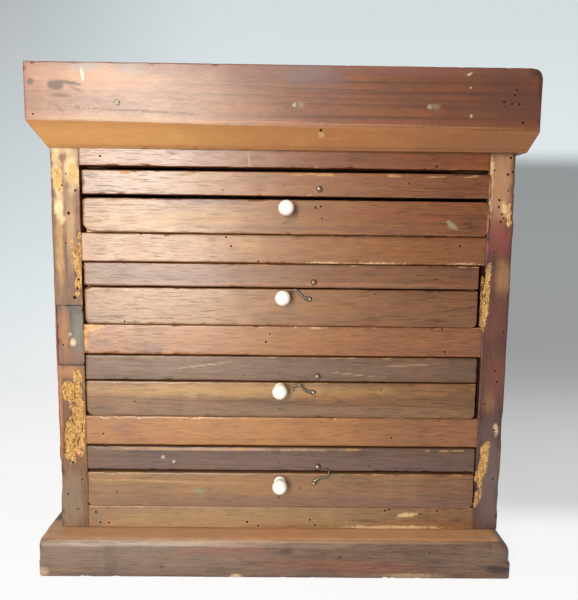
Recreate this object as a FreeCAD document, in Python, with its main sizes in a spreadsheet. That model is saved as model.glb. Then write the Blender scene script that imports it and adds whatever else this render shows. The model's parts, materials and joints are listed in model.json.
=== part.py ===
import FreeCAD, Part
import os
import re
import Sketcher
from contextlib import contextmanager

# A small pine cabinet with four lidded cases that slide out to the front.
# Millimetres, +Z up. The origin is on the underside of the base plank, in the middle of the
# opening and of the depth. The front faces -Y. Case 1 is the top one, case 4 the bottom one.

DIMENSIONS = {
    # carcass
    "opening_wide": 400,
    "side_left_thick": 28.5,
    "side_right_thick": 26.5,
    "carcass_deep": 320,
    "edge_round": 1.2,
    "joint_play": 0.1,
    "bore_spare": 0.5,
    # base plank
    "base_thick": 40,
    "base_front_over": 26,
    "base_back_over": 6,
    "base_left_over": 15,
    "base_right_over": 6,
    "base_front_round": 8,
    "base_right_round": 14,
    "base_small_round": 3,
    # rails and their tenons
    "rail_deep": 45,
    "rail_top_deep": 20,
    "rail_top_show": 16.5,
    "rail_2_tall": 28.5,
    "rail_3_tall": 30.5,
    "rail_4_tall": 30.5,
    "rail_bottom_tall": 24,
    "tenon_long": 9,
    "tenon_deep": 12,
    "tenon_shoulder": 5,
    # bays between the rails
    "bay_1_tall": 64.5,
    "bay_2_tall": 62.5,
    "bay_3_tall": 64,
    "bay_4_tall": 65.5,
    # inside the carcass
    "runner_wide": 18,
    "back_thick": 10,
    "rebate_wide": 10,
    "back_board_gap": 0.6,
    "top_thick": 12,
    # repair block in the front edge of the left side
    "patch_low": 212,
    "patch_tall": 61.5,
    "patch_deep": 12,
    "patch_inset": 2,
    # cornice
    "cornice_tall": 76.5,
    "cornice_thick": 16,
    "cornice_right_thick": 14,
    "cornice_left_flat": 0.6,
    "cornice_right_flat": 6,
    "bevel_left_tall": 23.5,
    "bevel_right_tall": 18,
    "cornice_round": 1.5,
    # nails
    "nail_thick": 2.4,
    "nail_head_wide": 4.4,
    "nail_head_tall": 1,
    "nail_long": 32,
    "nail_row_up": 40,
    "nail_left_at": -157.5,
    "nail_middle_at": 8.5,
    "nail_right_at": 135,
    "nail_from_end": 60,
    "patch_nail_up": 32,
    # cases
    "case_back_gap": 0.4,
    "running_gap": 0.3,
    "front_thick": 12,
    "front_round": 1.6,
    "wall_thick": 8,
    "bottom_thick": 5,
    "divider_thick": 4,
    "divider_down": 3,
    "halving_play": 0.2,
    "case_1_front_tall": 33.5,
    "case_2_front_tall": 37.3,
    "case_3_front_tall": 36.8,
    "case_4_front_tall": 37.2,
    "case_1_proud": 7,
    "case_2_proud": 3,
    "case_3_proud": 2,
    "case_4_proud": 3,
    "case_1_corner_round": 8,
    "case_2_corner_round": 4,
    "case_3_corner_round": 5,
    "case_4_corner_round": 4,
    "case_1_gap_left": 4.2,
    "case_2_gap_left": 2.5,
    "case_3_gap_left": 1.3,
    "case_4_gap_left": 0.7,
    "case_1_gap_right": 0.6,
    "case_2_gap_right": 6.5,
    "case_3_gap_right": 3.7,
    "case_4_gap_right": 1.7,
    # lids
    "seam_gap": 0.15,
    "lid_panel_thick": 5,
    "lid_1_ajar": 3,
    "lid_2_ajar": 1,
    "lid_3_ajar": 0.9,
    "lid_4_ajar": 2.6,
    "lid_1_headroom": 4.3,
    "lid_2_headroom": 0.5,
    "lid_3_headroom": 0.5,
    "lid_4_headroom": 0.5,
    # hinges
    "leaf_wide": 32,
    "leaf_tall": 14,
    "leaf_thick": 1,
    "knuckle_radius": 2.2,
    "knuckle_wide": 10,
    "knuckle_play": 0.3,
    "knuckle_off_wall": 0.2,
    "hinge_pin_radius": 0.9,
    "hinge_bore_play": 0.2,
    "hinge_from_end": 55,
    # porcelain knobs
    "knob_1_side": -0.3,
    "knob_2_side": 1,
    "knob_3_side": -1.6,
    "knob_4_side": -1.5,
    "knob_1_down": 8.2,
    "knob_2_down": 7.8,
    "knob_3_down": 6.5,
    "knob_4_down": 9,
    "knob_radius": 7.6,
    "knob_reach": 12.8,
    "knob_foot_radius": 6,
    "knob_foot_tall": 2.4,
    "knob_neck_radius": 3.9,
    "knob_screw_radius": 1.6,
    "knob_screw_into_head": 8,
    "knob_nut_radius": 3.6,
    "knob_nut_tall": 2.2,
    "knob_bolt_past_nut": 1,
    # latch pins and hooks
    "pin_1_side": 31,
    "pin_2_side": 31.3,
    "pin_3_side": 35.8,
    "pin_4_side": 37,
    "pin_1_up": 7.5,
    "pin_2_up": 6,
    "pin_3_up": 5.8,
    "pin_4_up": 5.2,
    "pin_head_radius": 2.9,
    "pin_head_tall": 2.2,
    "pin_shank_radius": 0.9,
    "pin_stand": 2.2,
    "pin_into_wood": 9,
    "hook_side": 3.6,
    "hook_down": 9.8,
    "hook_off_face": 0.3,
    "hook_thick": 1,
    "hook_reach": 15.2,
    "hook_eye_radius": 3,
    "hook_curl_radius": 5.2,
    "hook_mouth_radius": 3.6,
    "hook_tip_angle": 35,
    "hook_play": 0.25,
    "hook_screw_radius": 1,
    "hook_screw_head": 2.1,
    "hook_screw_head_tall": 1.7,
    "hook_screw_into_wood": 8,
    "hook_2_turn": 162,
    "hook_3_turn": 168,
    "hook_4_turn": 42,
}

TIERS = (1, 2, 3, 4)
HOOKED_TIERS = (2, 3, 4)
DIVIDED_INTO = 3
BACK_BOARDS = 3
TINY = 1e-6
ROUGH_SIZE = 10
SHORT_EDGE = 1

document = FreeCAD.newDocument("type_case_cabinet")
sheet = document.addObject("Spreadsheet::Sheet", "Sizes")
for row, (alias, value) in enumerate(DIMENSIONS.items(), start=1):
    sheet.set(f"A{row}", alias)
    sheet.set(f"B{row}", str(value))
    sheet.setAlias(f"B{row}", alias)
document.recompute()

NODES = []


# ---------------------------------------------------------------- building helpers

def with_sheet(formula):
    """Put the sheet's name in front of each alias in a formula."""
    def named(match):
        word = match.group(0)
        return f"Sizes.{word}" if word in DIMENSIONS else word
    return re.sub(r"[a-z_][a-z_0-9]*", named, str(formula))


def bind(target, path, formula):
    """Drive one property from the sheet."""
    target.setExpression(path, with_sheet(formula))


def place(target, x, y, z, pitch="0", roll="0"):
    """Drive a placement: a roll about X, then a pitch about Y, then a move."""
    spot = f"create(<<vector>>; {x}; {y}; {z})"
    turn = f"create(<<rotation>>; 0; {pitch}; {roll})"
    bind(target, "Placement", f"create(<<placement>>; {spot}; {turn})")


def new_body(label, keep=True):
    """Start a body, which is one node of its own unless it goes into a group."""
    body = document.addObject("PartDesign::Body", label)
    body.Label = label
    if keep:
        NODES.append(body)
    return body


def group(label, members):
    """Join separate solids in one node, without fusing them."""
    compound = document.addObject("Part::Compound", label)
    compound.Label = label
    compound.Links = members
    NODES.append(compound)
    return compound


def feature(body, kind, name, at=("0", "0", "0"), pitch="0", roll="0", **sizes):
    """Add a PartDesign primitive with its sizes, its corner or centre and its turns."""
    made = body.newObject(f"PartDesign::{kind}", name)
    for prop, formula in sizes.items():
        bind(made, prop, formula)
    place(made, *at, pitch=pitch, roll=roll)
    return made


def add_box(body, name, at, wide, deep, tall):
    """Add a block of wood with its corner at a place in the body."""
    feature(body, "AdditiveBox", name, at, Length=wide, Width=deep, Height=tall)


@contextmanager
def cutting(body, name):
    """Make sure that what is added to the body in the with block removes some of it."""
    document.recompute()
    before = body.Shape.Volume
    yield
    document.recompute()
    if body.Shape.Volume > before - TINY:
        raise RuntimeError(f"{body.Label}: {name} cuts nothing")


def cut_box(body, name, at, wide, deep, tall):
    """Cut a block out of a body."""
    with cutting(body, name):
        feature(body, "SubtractiveBox", name, at, Length=wide, Width=deep, Height=tall)


def drill(body, name, at, radius, depth, pitch="0", roll="0"):
    """Drill along +Z, or the way that the turns point."""
    with cutting(body, name):
        feature(body, "SubtractiveCylinder", name, at, pitch, roll, Radius=radius, Height=depth)


def drill_in(body, name, at, radius, depth):
    """Drill along +Y, as from the front into the wood."""
    drill(body, name, at, radius, depth, roll="-90")


def drill_across(body, name, at, radius, depth, inward):
    """Drill along +X, or along -X where inward is false."""
    drill(body, name, at, radius, depth, pitch="90" if inward else "-90")


def plane_sketch(body, role, name):
    """Attach a sketch to one of the body's own origin planes."""
    planes = [part for part in body.Origin.OriginFeatures if part.Role == role]
    sketch = body.newObject("Sketcher::SketchObject", name)
    sketch.AttachmentSupport = [(planes[0], "")]
    sketch.MapMode = "FlatFace"
    return sketch


def polygon(sketch, points):
    """Draw a closed outline whose corners follow pairs of formulas."""
    count = len(points)
    first = sketch.GeometryCount
    rough = [FreeCAD.Vector(ROUGH_SIZE, 0, 0)]
    for step in range(1, count + 1):
        spin = FreeCAD.Rotation(FreeCAD.Vector(0, 0, 1), 360 * step / count)
        rough.append(spin.multVec(rough[0]))
    for side in range(count):
        sketch.addGeometry(Part.LineSegment(rough[side], rough[side + 1]), False)
    for side in range(count):
        following = first + (side + 1) % count
        sketch.addConstraint(Sketcher.Constraint("Coincident", first + side, 2, following, 1))
    for side, (across, up) in enumerate(points):
        for kind, formula in (("DistanceX", across), ("DistanceY", up)):
            rule = Sketcher.Constraint(kind, -1, 1, first + side, 1, 1.0)
            index = sketch.addConstraint(rule)
            bind(sketch, f"Constraints[{index}]", formula)


def pad(body, sketch, length, backwards=False):
    """Pad a sketch along its normal, or against it."""
    made = body.newObject("PartDesign::Pad", f"{sketch.Name}_pad")
    made.Profile = sketch
    made.Reversed = backwards
    bind(made, "Length", length)
    sketch.Visibility = False


def cut_through(body, sketch):
    """Cut a sketch on the XY plane up through the whole body."""
    document.recompute()
    with cutting(body, sketch.Name):
        made = body.newObject("PartDesign::Pocket", f"{sketch.Name}_cut")
        made.Profile = sketch
        made.Type = "ThroughAll"
        made.Reversed = True


def round_edges(body, name, radius, wanted):
    """Round the edges of the body so far whose two ends pass a test."""
    document.recompute()
    base = body.Tip
    names = []
    for index, edge in enumerate(base.Shape.Edges, start=1):
        ends = [vertex.Point for vertex in edge.Vertexes]
        if len(ends) == 2 and wanted(*ends):
            names.append(f"Edge{index}")
    if not names:
        raise RuntimeError(f"{body.Label}: {name} finds no edge")
    made = body.newObject("PartDesign::Fillet", name)
    made.Base = (base, names)
    bind(made, "Radius", radius)
    document.recompute()


def on_front(one, two):
    """Both ends lie on the local front face, y = 0."""
    return abs(one.y) < TINY and abs(two.y) < TINY


def long_front(one, two):
    """An edge of the front face that runs across, along X."""
    return on_front(one, two) and abs(one.z - two.z) < TINY


def upright_front(one, two):
    """An edge of the front face that runs up, along Z."""
    return on_front(one, two) and abs(one.x - two.x) < TINY


# ---------------------------------------------------------------- levels and lines

HALF = "opening_wide / 2"
FRONT = "(0 - carcass_deep / 2)"
BACK = "(carcass_deep / 2)"
LEFT_OUT = f"(0 - {HALF} - side_left_thick)"
RIGHT_OUT = f"({HALF} + side_right_thick)"

FLOOR = {}
CEILING = {}
RAIL_UNDER = {4: "rail_bottom_tall", 3: "rail_4_tall", 2: "rail_3_tall", 1: "rail_2_tall"}
level = "base_thick"
for tier in reversed(TIERS):
    level = f"{level} + {RAIL_UNDER[tier]}"
    FLOOR[tier] = f"({level})"
    level = f"{level} + bay_{tier}_tall"
    CEILING[tier] = f"({level})"

CORNICE_LOW = f"({CEILING[1]} + rail_top_show)"
CORNICE_TOP = f"({CORNICE_LOW} + cornice_tall)"
CARCASS_TOP = f"({CORNICE_TOP} - top_thick)"
HINGE_BACK = "(knuckle_radius + knuckle_off_wall)"
CASE_DEEP = f"(carcass_deep - back_thick - case_back_gap - knuckle_radius - {HINGE_BACK})"


# ---------------------------------------------------------------- base plank

def build_base():
    """A plank with a large round at its right end, a smaller one in front and eased edges."""
    body = new_body("base")
    wide = f"{RIGHT_OUT} + base_right_over - ({LEFT_OUT} - base_left_over)"
    deep = "carcass_deep + base_front_over + base_back_over"
    add_box(body, "plank", ("0", "0", "0"), wide, deep, "base_thick")
    document.recompute()
    box = body.Shape.BoundBox
    right, top = box.XMax, box.ZMax

    def right_top(one, two):
        return min(one.x, two.x) > right - TINY and min(one.z, two.z) > top - TINY

    def other_ends(one, two):
        low = max(one.z, two.z) < TINY
        left_top = max(one.x, two.x) < TINY and min(one.z, two.z) > top - TINY
        sideways = abs(one.y - two.y) > SHORT_EDGE
        return low and (sideways or on_front(one, two)) or left_top and sideways

    round_edges(body, "right_round", "base_right_round", right_top)
    round_edges(body, "front_round", "base_front_round",
                lambda one, two: long_front(one, two) and one.z > top / 2)
    round_edges(body, "small_rounds", "base_small_round", other_ends)
    place(body, f"{LEFT_OUT} - base_left_over", f"{FRONT} - base_front_over", "0")


# ---------------------------------------------------------------- rails and sides

def rail(label, low, tall, deep):
    """A rail with a stub tenon at each end and eased front edges."""
    body = new_body(label)
    add_box(body, "bar", ("0", "0", "0"), "opening_wide", deep, tall)
    round_edges(body, "eased", "edge_round", long_front)
    tenon_tall = f"{tall} - 2 * tenon_shoulder"
    back_off = f"({deep} - tenon_deep) / 2"
    for end, across in (("left", "0 - tenon_long"), ("right", "opening_wide")):
        at = (across, back_off, "tenon_shoulder")
        add_box(body, f"tenon_{end}", at, "tenon_long", "tenon_deep", tenon_tall)
    place(body, f"0 - {HALF}", FRONT, low)
    return body


RAILS = {
    "rail_bottom": ("base_thick", "rail_bottom_tall", "rail_deep"),
    "rail_4": (CEILING[4], "rail_4_tall", "rail_deep"),
    "rail_3": (CEILING[3], "rail_3_tall", "rail_deep"),
    "rail_2": (CEILING[2], "rail_2_tall", "rail_deep"),
    "rail_top": (CEILING[1], f"({CARCASS_TOP} - {CEILING[1]})", "rail_top_deep"),
}

NAIL_LEVEL = f"({CORNICE_LOW} + nail_row_up)"
FRONT_NAILS = ("nail_left_at", "nail_middle_at", "nail_right_at")
SIDE_NAILS = (f"{FRONT} + nail_from_end", f"{BACK} - nail_from_end")
NAIL_HOLE = "nail_thick / 2 + joint_play"
NAIL_SEAT = "nail_head_wide / 2 + joint_play"
NAIL_SUNK = "nail_long - cornice_thick + bore_spare"


def build_rails():
    """The four tenoned rails and the deep top rail that the cornice is nailed to."""
    for label, (low, tall, deep) in RAILS.items():
        body = rail(label, low, tall, deep)
    for number, across in enumerate(FRONT_NAILS, start=1):
        at = (f"{across} + {HALF}", "0", f"{NAIL_LEVEL} - {CEILING[1]}")
        drill_in(body, f"nail_hole_{number}", at, NAIL_HOLE, NAIL_SUNK)


def side(label, thick, inner_at, outer_at):
    """A side board with a mortise for each tenon and a rebate for the back boards."""
    body = new_body(label)
    tall = f"{CARCASS_TOP} - base_thick"
    add_box(body, "board", ("0", "0", "0"), thick, "carcass_deep", tall)
    round_edges(body, "eased", "edge_round", upright_front)
    left = label == "side_left"
    mortise_at = f"{thick} - tenon_long - joint_play" if left else "0"
    for name, (low, rail_tall, deep) in RAILS.items():
        at = (
            mortise_at,
            f"({deep} - tenon_deep) / 2 - joint_play",
            f"{low} - base_thick + tenon_shoulder - joint_play",
        )
        tenon_tall = f"{rail_tall} - 2 * tenon_shoulder + 2 * joint_play"
        cut_box(body, f"mortise_{name}", at, "tenon_long + joint_play",
                "tenon_deep + 2 * joint_play", tenon_tall)
    rebate_at = f"{thick} - rebate_wide" if left else "0"
    cut_box(body, "rebate", (rebate_at, "carcass_deep - back_thick", "0"),
            "rebate_wide", "back_thick", tall)
    place(body, outer_at if left else inner_at, FRONT, "base_thick")
    level_in = f"{NAIL_LEVEL} - base_thick"
    for number, along in enumerate(SIDE_NAILS, start=1):
        at = ("0" if left else thick, f"{along} - {FRONT}", level_in)
        cover = "cornice_thick" if left else "cornice_right_thick"
        sunk = f"nail_long - {cover} + bore_spare"
        drill_across(body, f"nail_hole_{number}", at, NAIL_HOLE, sunk, inward=left)
    return body


def build_sides():
    """Both side boards, and the block let into the left one where it was mended."""
    left = side("side_left", "side_left_thick", None, LEFT_OUT)
    side("side_right", "side_right_thick", HALF, None)
    wide = "side_left_thick - patch_inset"
    at = ("patch_inset", "0", "patch_low - base_thick")
    cut_box(left, "patch_seat", at, wide, "patch_deep", "patch_tall")
    nail_up = "patch_low - base_thick + patch_nail_up"
    nail_in = f"patch_inset + ({wide}) / 2"
    drill_in(left, "patch_nail_hole", (nail_in, "0", nail_up), NAIL_HOLE, "nail_long + bore_spare")

    patch = new_body("side_patch")
    play = "joint_play"
    add_box(patch, "block", ("0", "0", "0"), f"{wide} - {play}", f"patch_deep - {play}",
            f"patch_tall - 2 * {play}")
    drill_in(patch, "nail_hole", (f"({wide}) / 2 - {play}", "0", f"patch_nail_up - {play}"),
             NAIL_HOLE, "patch_deep")
    drill_in(patch, "nail_seat", (f"({wide}) / 2 - {play}", "0", f"patch_nail_up - {play}"),
             NAIL_SEAT, "nail_head_tall")
    place(patch, f"{LEFT_OUT} + patch_inset + {play}", FRONT, f"patch_low + {play}")


# ---------------------------------------------------------------- inside the carcass

def plain_board(label, at, wide, deep, tall):
    """A plain sawn board as a Part box, for a group of boards."""
    box = document.addObject("Part::Box", label)
    box.Label = label
    bind(box, "Length", wide)
    bind(box, "Width", deep)
    bind(box, "Height", tall)
    place(box, *at)
    return box


def build_inside():
    """Runners under the cases, kickers over the top one, back boards and top panel."""
    run_long = "carcass_deep - rail_deep - back_thick"
    run_at = {"left": f"0 - {HALF}", "right": f"{HALF} - runner_wide"}
    runners = []
    for tier in TIERS:
        tall = RAIL_UNDER[tier]
        for end, across in run_at.items():
            at = (across, f"{FRONT} + rail_deep", f"{FLOOR[tier]} - {tall}")
            name = f"runner_{tier}_{end}"
            runners.append(plain_board(name, at, "runner_wide", run_long, tall))
    group("runners", runners)

    kick_long = "carcass_deep - rail_top_deep - back_thick"
    kickers = []
    for end, across in run_at.items():
        at = (across, f"{FRONT} + rail_top_deep", CEILING[1])
        name = f"kicker_{end}"
        kickers.append(plain_board(name, at, "runner_wide", kick_long, "rail_top_show"))
    group("kickers", kickers)

    gaps = f"{BACK_BOARDS + 1} * back_board_gap"
    board_wide = f"(opening_wide + 2 * rebate_wide - {gaps}) / {BACK_BOARDS}"
    boards = []
    for number in range(BACK_BOARDS):
        across = f"0 - {HALF} - rebate_wide + back_board_gap"
        at = (
            f"{across} + {number} * ({board_wide} + back_board_gap)",
            f"{BACK} - back_thick",
            "base_thick",
        )
        name = f"back_board_{number + 1}"
        boards.append(plain_board(name, at, board_wide, "back_thick",
                                  f"{CARCASS_TOP} - base_thick"))
    group("back_boards", boards)

    top = new_body("top_panel")
    add_box(top, "board", ("0", "0", "0"), f"{RIGHT_OUT} - {LEFT_OUT}", "carcass_deep", "top_thick")
    place(top, LEFT_OUT, FRONT, CARCASS_TOP)


# ---------------------------------------------------------------- cornice

def mitre(body, name, corners):
    """Saw a mitred end: a triangle in plan, cut through the whole height."""
    sketch = plane_sketch(body, "XY_Plane", name)
    polygon(sketch, corners)
    cut_through(body, sketch)


def build_cornice_front():
    """The front board: its hand-planed bevel is taller at the left than at the right."""
    body = new_body("cornice_front")
    left_end = f"{LEFT_OUT} - cornice_thick"
    right_end = f"{RIGHT_OUT} + cornice_right_thick"
    long = f"{right_end} - ({left_end})"
    right_flat = "cornice_thick * cornice_right_flat / cornice_right_thick"
    ends = (
        ("left_profile", "0", "cornice_left_flat", "bevel_left_tall"),
        ("right_profile", long, right_flat, "bevel_right_tall"),
    )
    sketches = []
    for name, along, flat, rise in ends:
        sketch = plane_sketch(body, "YZ_Plane", name)
        bind(sketch, ".AttachmentOffset.Base.z", along)
        corners = (
            ("cornice_thick", "0"),
            ("cornice_thick", "cornice_tall"),
            ("0", "cornice_tall"),
            ("0", rise),
            (f"cornice_thick - {flat}", "0"),
        )
        polygon(sketch, corners)
        sketches.append(sketch)
    document.recompute()
    loft = body.newObject("PartDesign::AdditiveLoft", "planed_board")
    loft.Profile = sketches[0]
    loft.Sections = [sketches[1]]
    loft.Ruled = True
    document.recompute()
    mitre(body, "left_mitre", (("0", "0"), ("cornice_thick", "cornice_thick"),
                               ("0", "cornice_thick")))
    mitre(body, "right_mitre", ((long, "0"), (long, "cornice_thick"),
                                (f"{long} - cornice_right_thick", "cornice_thick")))
    top = body.Shape.BoundBox.ZMax
    round_edges(body, "eased", "cornice_round",
                lambda one, two: long_front(one, two) and min(one.z, two.z) > top - TINY)
    for number, across in enumerate(FRONT_NAILS, start=1):
        at = (f"{across} - ({left_end})", "0", "nail_row_up")
        drill_in(body, f"nail_hole_{number}", at, NAIL_HOLE, "cornice_thick")
        drill_in(body, f"nail_seat_{number}", at, NAIL_SEAT, "nail_head_tall")
    place(body, left_end, f"{FRONT} - cornice_thick", CORNICE_LOW)


def build_cornice_side(label, thick, flat, rise, outer_at, left):
    """A side board of the cornice, padded along the depth and mitred at the front."""
    body = new_body(label)
    sketch = plane_sketch(body, "XZ_Plane", f"{label}_profile")
    inner = (thick, "0")
    outer = ("0", rise)
    flat_end = (f"{thick} - {flat}", "0")
    corners = [inner, (thick, "cornice_tall"), ("0", "cornice_tall"), outer, flat_end]
    if not left:
        corners = [(f"{thick} - ({across})", up) for across, up in corners]
    polygon(sketch, corners)
    pad(body, sketch, "carcass_deep + cornice_thick", backwards=True)
    inner_line = thick if left else "0"
    outer_line = "0" if left else thick
    mitre(body, f"{label}_mitre", ((outer_line, "0"), (inner_line, "0"),
                                   (inner_line, "cornice_thick")))
    for number, along in enumerate(SIDE_NAILS, start=1):
        at = (outer_line, f"{along} - {FRONT} + cornice_thick", "nail_row_up")
        drill_across(body, f"nail_hole_{number}", at, NAIL_HOLE, thick, inward=left)
        drill_across(body, f"nail_seat_{number}", at, NAIL_SEAT, "nail_head_tall",
                     inward=left)
    place(body, outer_at, f"{FRONT} - cornice_thick", CORNICE_LOW)


def build_cornice():
    """Three mitred boards round the top of the carcass."""
    build_cornice_front()
    build_cornice_side("cornice_left", "cornice_thick", "cornice_left_flat", "bevel_left_tall",
                       f"{LEFT_OUT} - cornice_thick", True)
    build_cornice_side("cornice_right", "cornice_right_thick", "cornice_right_flat",
                       "bevel_right_tall", RIGHT_OUT, False)


# ---------------------------------------------------------------- nails

def nail(name, at, pitch="0", roll="-90"):
    """A nail with a flat head, its head flush with the wood."""
    body = new_body(name, keep=False)
    feature(body, "AdditiveCylinder", "head", Radius="nail_head_wide / 2", Height="nail_head_tall")
    feature(body, "AdditiveCylinder", "shank", Radius="nail_thick / 2", Height="nail_long")
    place(body, *at, pitch=pitch, roll=roll)
    return body


def build_nails():
    """Nails through the cornice and the repair block."""
    nails = []
    for number, across in enumerate(FRONT_NAILS, start=1):
        at = (across, f"{FRONT} - cornice_thick", NAIL_LEVEL)
        nails.append(nail(f"nail_front_{number}", at))
    for number, along in enumerate(SIDE_NAILS, start=1):
        left_at = (f"{LEFT_OUT} - cornice_thick", along, NAIL_LEVEL)
        right_at = (f"{RIGHT_OUT} + cornice_right_thick", along, NAIL_LEVEL)
        nails.append(nail(f"nail_left_{number}", left_at, pitch="90", roll="0"))
        nails.append(nail(f"nail_right_{number}", right_at, pitch="-90", roll="0"))
    patch_at = f"{LEFT_OUT} + patch_inset + (side_left_thick - patch_inset) / 2"
    nails.append(nail("nail_patch", (patch_at, FRONT, "patch_low + patch_nail_up")))
    group("nails", nails)


# ---------------------------------------------------------------- cases

class Case:
    """The formulas that place and size one case, its lid and its fittings."""

    def __init__(self, tier):
        self.tier = tier
        self.name = f"case_{tier}"
        self.wide = f"(opening_wide - case_{tier}_gap_left - case_{tier}_gap_right)"
        self.left = f"(0 - {HALF} + case_{tier}_gap_left)"
        self.front = f"({FRONT} - case_{tier}_proud)"
        self.low = f"({FLOOR[tier]} + running_gap)"
        self.tall = f"case_{tier}_front_tall"
        self.ajar = f"lid_{tier}_ajar"
        play = f"({self.ajar} + lid_{tier}_headroom + seam_gap + running_gap)"
        self.lid_tall = f"(bay_{tier}_tall - {self.tall} - {play})"
        self.axis_deep = f"({CASE_DEEP} + {HINGE_BACK})"
        self.ajar_angle = f"asin({self.ajar} / {self.axis_deep})"
        self.knob_x = f"({self.wide} / 2 + knob_{tier}_side)"
        self.knob_z = f"({self.tall} - knob_{tier}_down)"
        self.pin_x = f"({self.wide} / 2 + pin_{tier}_side)"
        self.hook_x = f"({self.pin_x} - hook_side)"
        self.hook_z = f"({self.tall} - hook_down)"
        self.hinges = ("hinge_from_end", f"({self.wide} - hinge_from_end - leaf_wide)")

    def place_box(self, target, x="0", y="0", z="0", pitch="0", roll="0"):
        """Place a piece by its spot in the case's own corner frame."""
        place(target, f"{self.left} + {x}", f"{self.front} + {y}", f"{self.low} + {z}",
              pitch=pitch, roll=roll)

    def place_lid(self, target, x="0"):
        """Place a lid piece, modelled from the hinge axis, as far open as the lid rests."""
        place(target, f"{self.left} + {x}", f"{self.front} + {self.axis_deep}",
              f"{self.low} + {self.tall} + seam_gap / 2", roll=f"-1 * {self.ajar_angle}")


def build_box(case):
    """Front, walls, bottom and dividers of one case."""
    front = new_body(f"{case.name}_front")
    add_box(front, "board", ("0", "0", "0"), case.wide, "front_thick", case.tall)
    round_edges(front, "worn_corners", f"case_{case.tier}_corner_round",
                lambda one, two: abs(one.y - two.y) > TINY and max(one.z, two.z) < TINY)
    round_edges(front, "eased", "front_round", on_front)
    drill_in(front, "knob_hole", (case.knob_x, "0", case.knob_z),
             "knob_screw_radius + joint_play", "front_thick")
    drill_in(front, "hook_hole", (case.hook_x, "0", case.hook_z),
             "hook_screw_radius + joint_play", "hook_screw_into_wood + bore_spare")
    case.place_box(front)

    wall_tall = f"{case.tall} - bottom_thick"
    side_deep = f"{CASE_DEEP} - front_thick"
    inner_wide = f"{case.wide} - 2 * wall_thick"
    pieces = (
        ("left", "0", "front_thick", "wall_thick", side_deep),
        ("right", f"{case.wide} - wall_thick", "front_thick", "wall_thick", side_deep),
        ("back", "wall_thick", f"{CASE_DEEP} - wall_thick", inner_wide, "wall_thick"),
    )
    walls = []
    for end, across, along, wide, deep in pieces:
        at = (f"{case.left} + {across}", f"{case.front} + {along}", f"{case.low} + bottom_thick")
        walls.append(plain_board(f"{case.name}_wall_{end}", at, wide, deep, wall_tall))
    group(f"{case.name}_walls", walls)

    bottom = new_body(f"{case.name}_bottom")
    add_box(bottom, "board", ("0", "0", "0"), case.wide, side_deep, "bottom_thick")
    case.place_box(bottom, y="front_thick")
    build_dividers(case, inner_wide, f"({wall_tall} - divider_down)")


def build_dividers(case, inner_wide, tall):
    """One long and two cross dividers, halved into each other."""
    inner_deep = f"({CASE_DEEP} - front_thick - wall_thick)"
    slot = "(divider_thick + halving_play)"
    half_tall = f"({tall} / 2 + halving_play / 2)"
    crossings = [f"({inner_wide}) * {number} / {DIVIDED_INTO}" for number in range(1, DIVIDED_INTO)]
    middle = f"{inner_deep} / 2"
    long = new_body(f"{case.name}_divider_long", keep=False)
    add_box(long, "board", ("0", "0", "0"), inner_wide, "divider_thick", tall)
    for number, across in enumerate(crossings, start=1):
        at = (f"{across} - {slot} / 2", "0", f"{tall} - {half_tall}")
        cut_box(long, f"slot_{number}", at, slot, "divider_thick", half_tall)
    case.place_box(long, "wall_thick", f"front_thick + {middle} - divider_thick / 2",
                   "bottom_thick")
    dividers = [long]
    for number, across in enumerate(crossings, start=1):
        cross = new_body(f"{case.name}_divider_{number}", keep=False)
        add_box(cross, "board", ("0", "0", "0"), "divider_thick", inner_deep, tall)
        at = ("0", f"{middle} - {slot} / 2", "0")
        cut_box(cross, "slot", at, "divider_thick", slot, half_tall)
        case.place_box(cross, f"wall_thick + {across} - divider_thick / 2", "front_thick",
                       "bottom_thick")
        dividers.append(cross)
    group(f"{case.name}_dividers", dividers)


def build_lid(case):
    """Frame and panel of one lid, modelled from the front, with the hinge axis behind it."""
    tier = case.tier
    front_y = f"0 - {case.axis_deep}"
    behind_y = f"front_thick - {case.axis_deep}"
    low = "seam_gap / 2"
    side_deep = f"{CASE_DEEP} - front_thick"
    slat_tall = f"({case.lid_tall} - lid_panel_thick)"

    front = new_body(f"lid_{tier}_front", keep=False)
    add_box(front, "slat", ("0", front_y, low), case.wide, "front_thick", case.lid_tall)
    document.recompute()
    face = front.Shape.BoundBox.YMin
    round_edges(front, "eased", "front_round", lambda one, two: max(one.y, two.y) < face + TINY)
    drill_in(front, "pin_hole", (case.pin_x, front_y, f"{low} + pin_{tier}_up"),
             "pin_shank_radius + joint_play", "pin_into_wood + bore_spare")

    right = f"{case.wide} - wall_thick"
    back_y = "0 - knuckle_off_wall - knuckle_radius - wall_thick"
    slats = (
        ("left", "0", behind_y, "wall_thick", side_deep),
        ("right", right, behind_y, "wall_thick", side_deep),
        ("back", "wall_thick", back_y, f"{case.wide} - 2 * wall_thick", "wall_thick"),
    )
    frame = [front]
    for end, across, along, wide, deep in slats:
        slat = new_body(f"lid_{tier}_slat_{end}", keep=False)
        add_box(slat, "slat", (across, along, low), wide, deep, slat_tall)
        frame.append(slat)
    for piece in frame:
        case.place_lid(piece)
    group(f"lid_{tier}_frame", frame)

    panel = new_body(f"lid_{tier}_panel")
    add_box(panel, "board", ("0", behind_y, f"{low} + {slat_tall}"), case.wide, side_deep,
            "lid_panel_thick")
    case.place_lid(panel)


# ---------------------------------------------------------------- hinges

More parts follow.
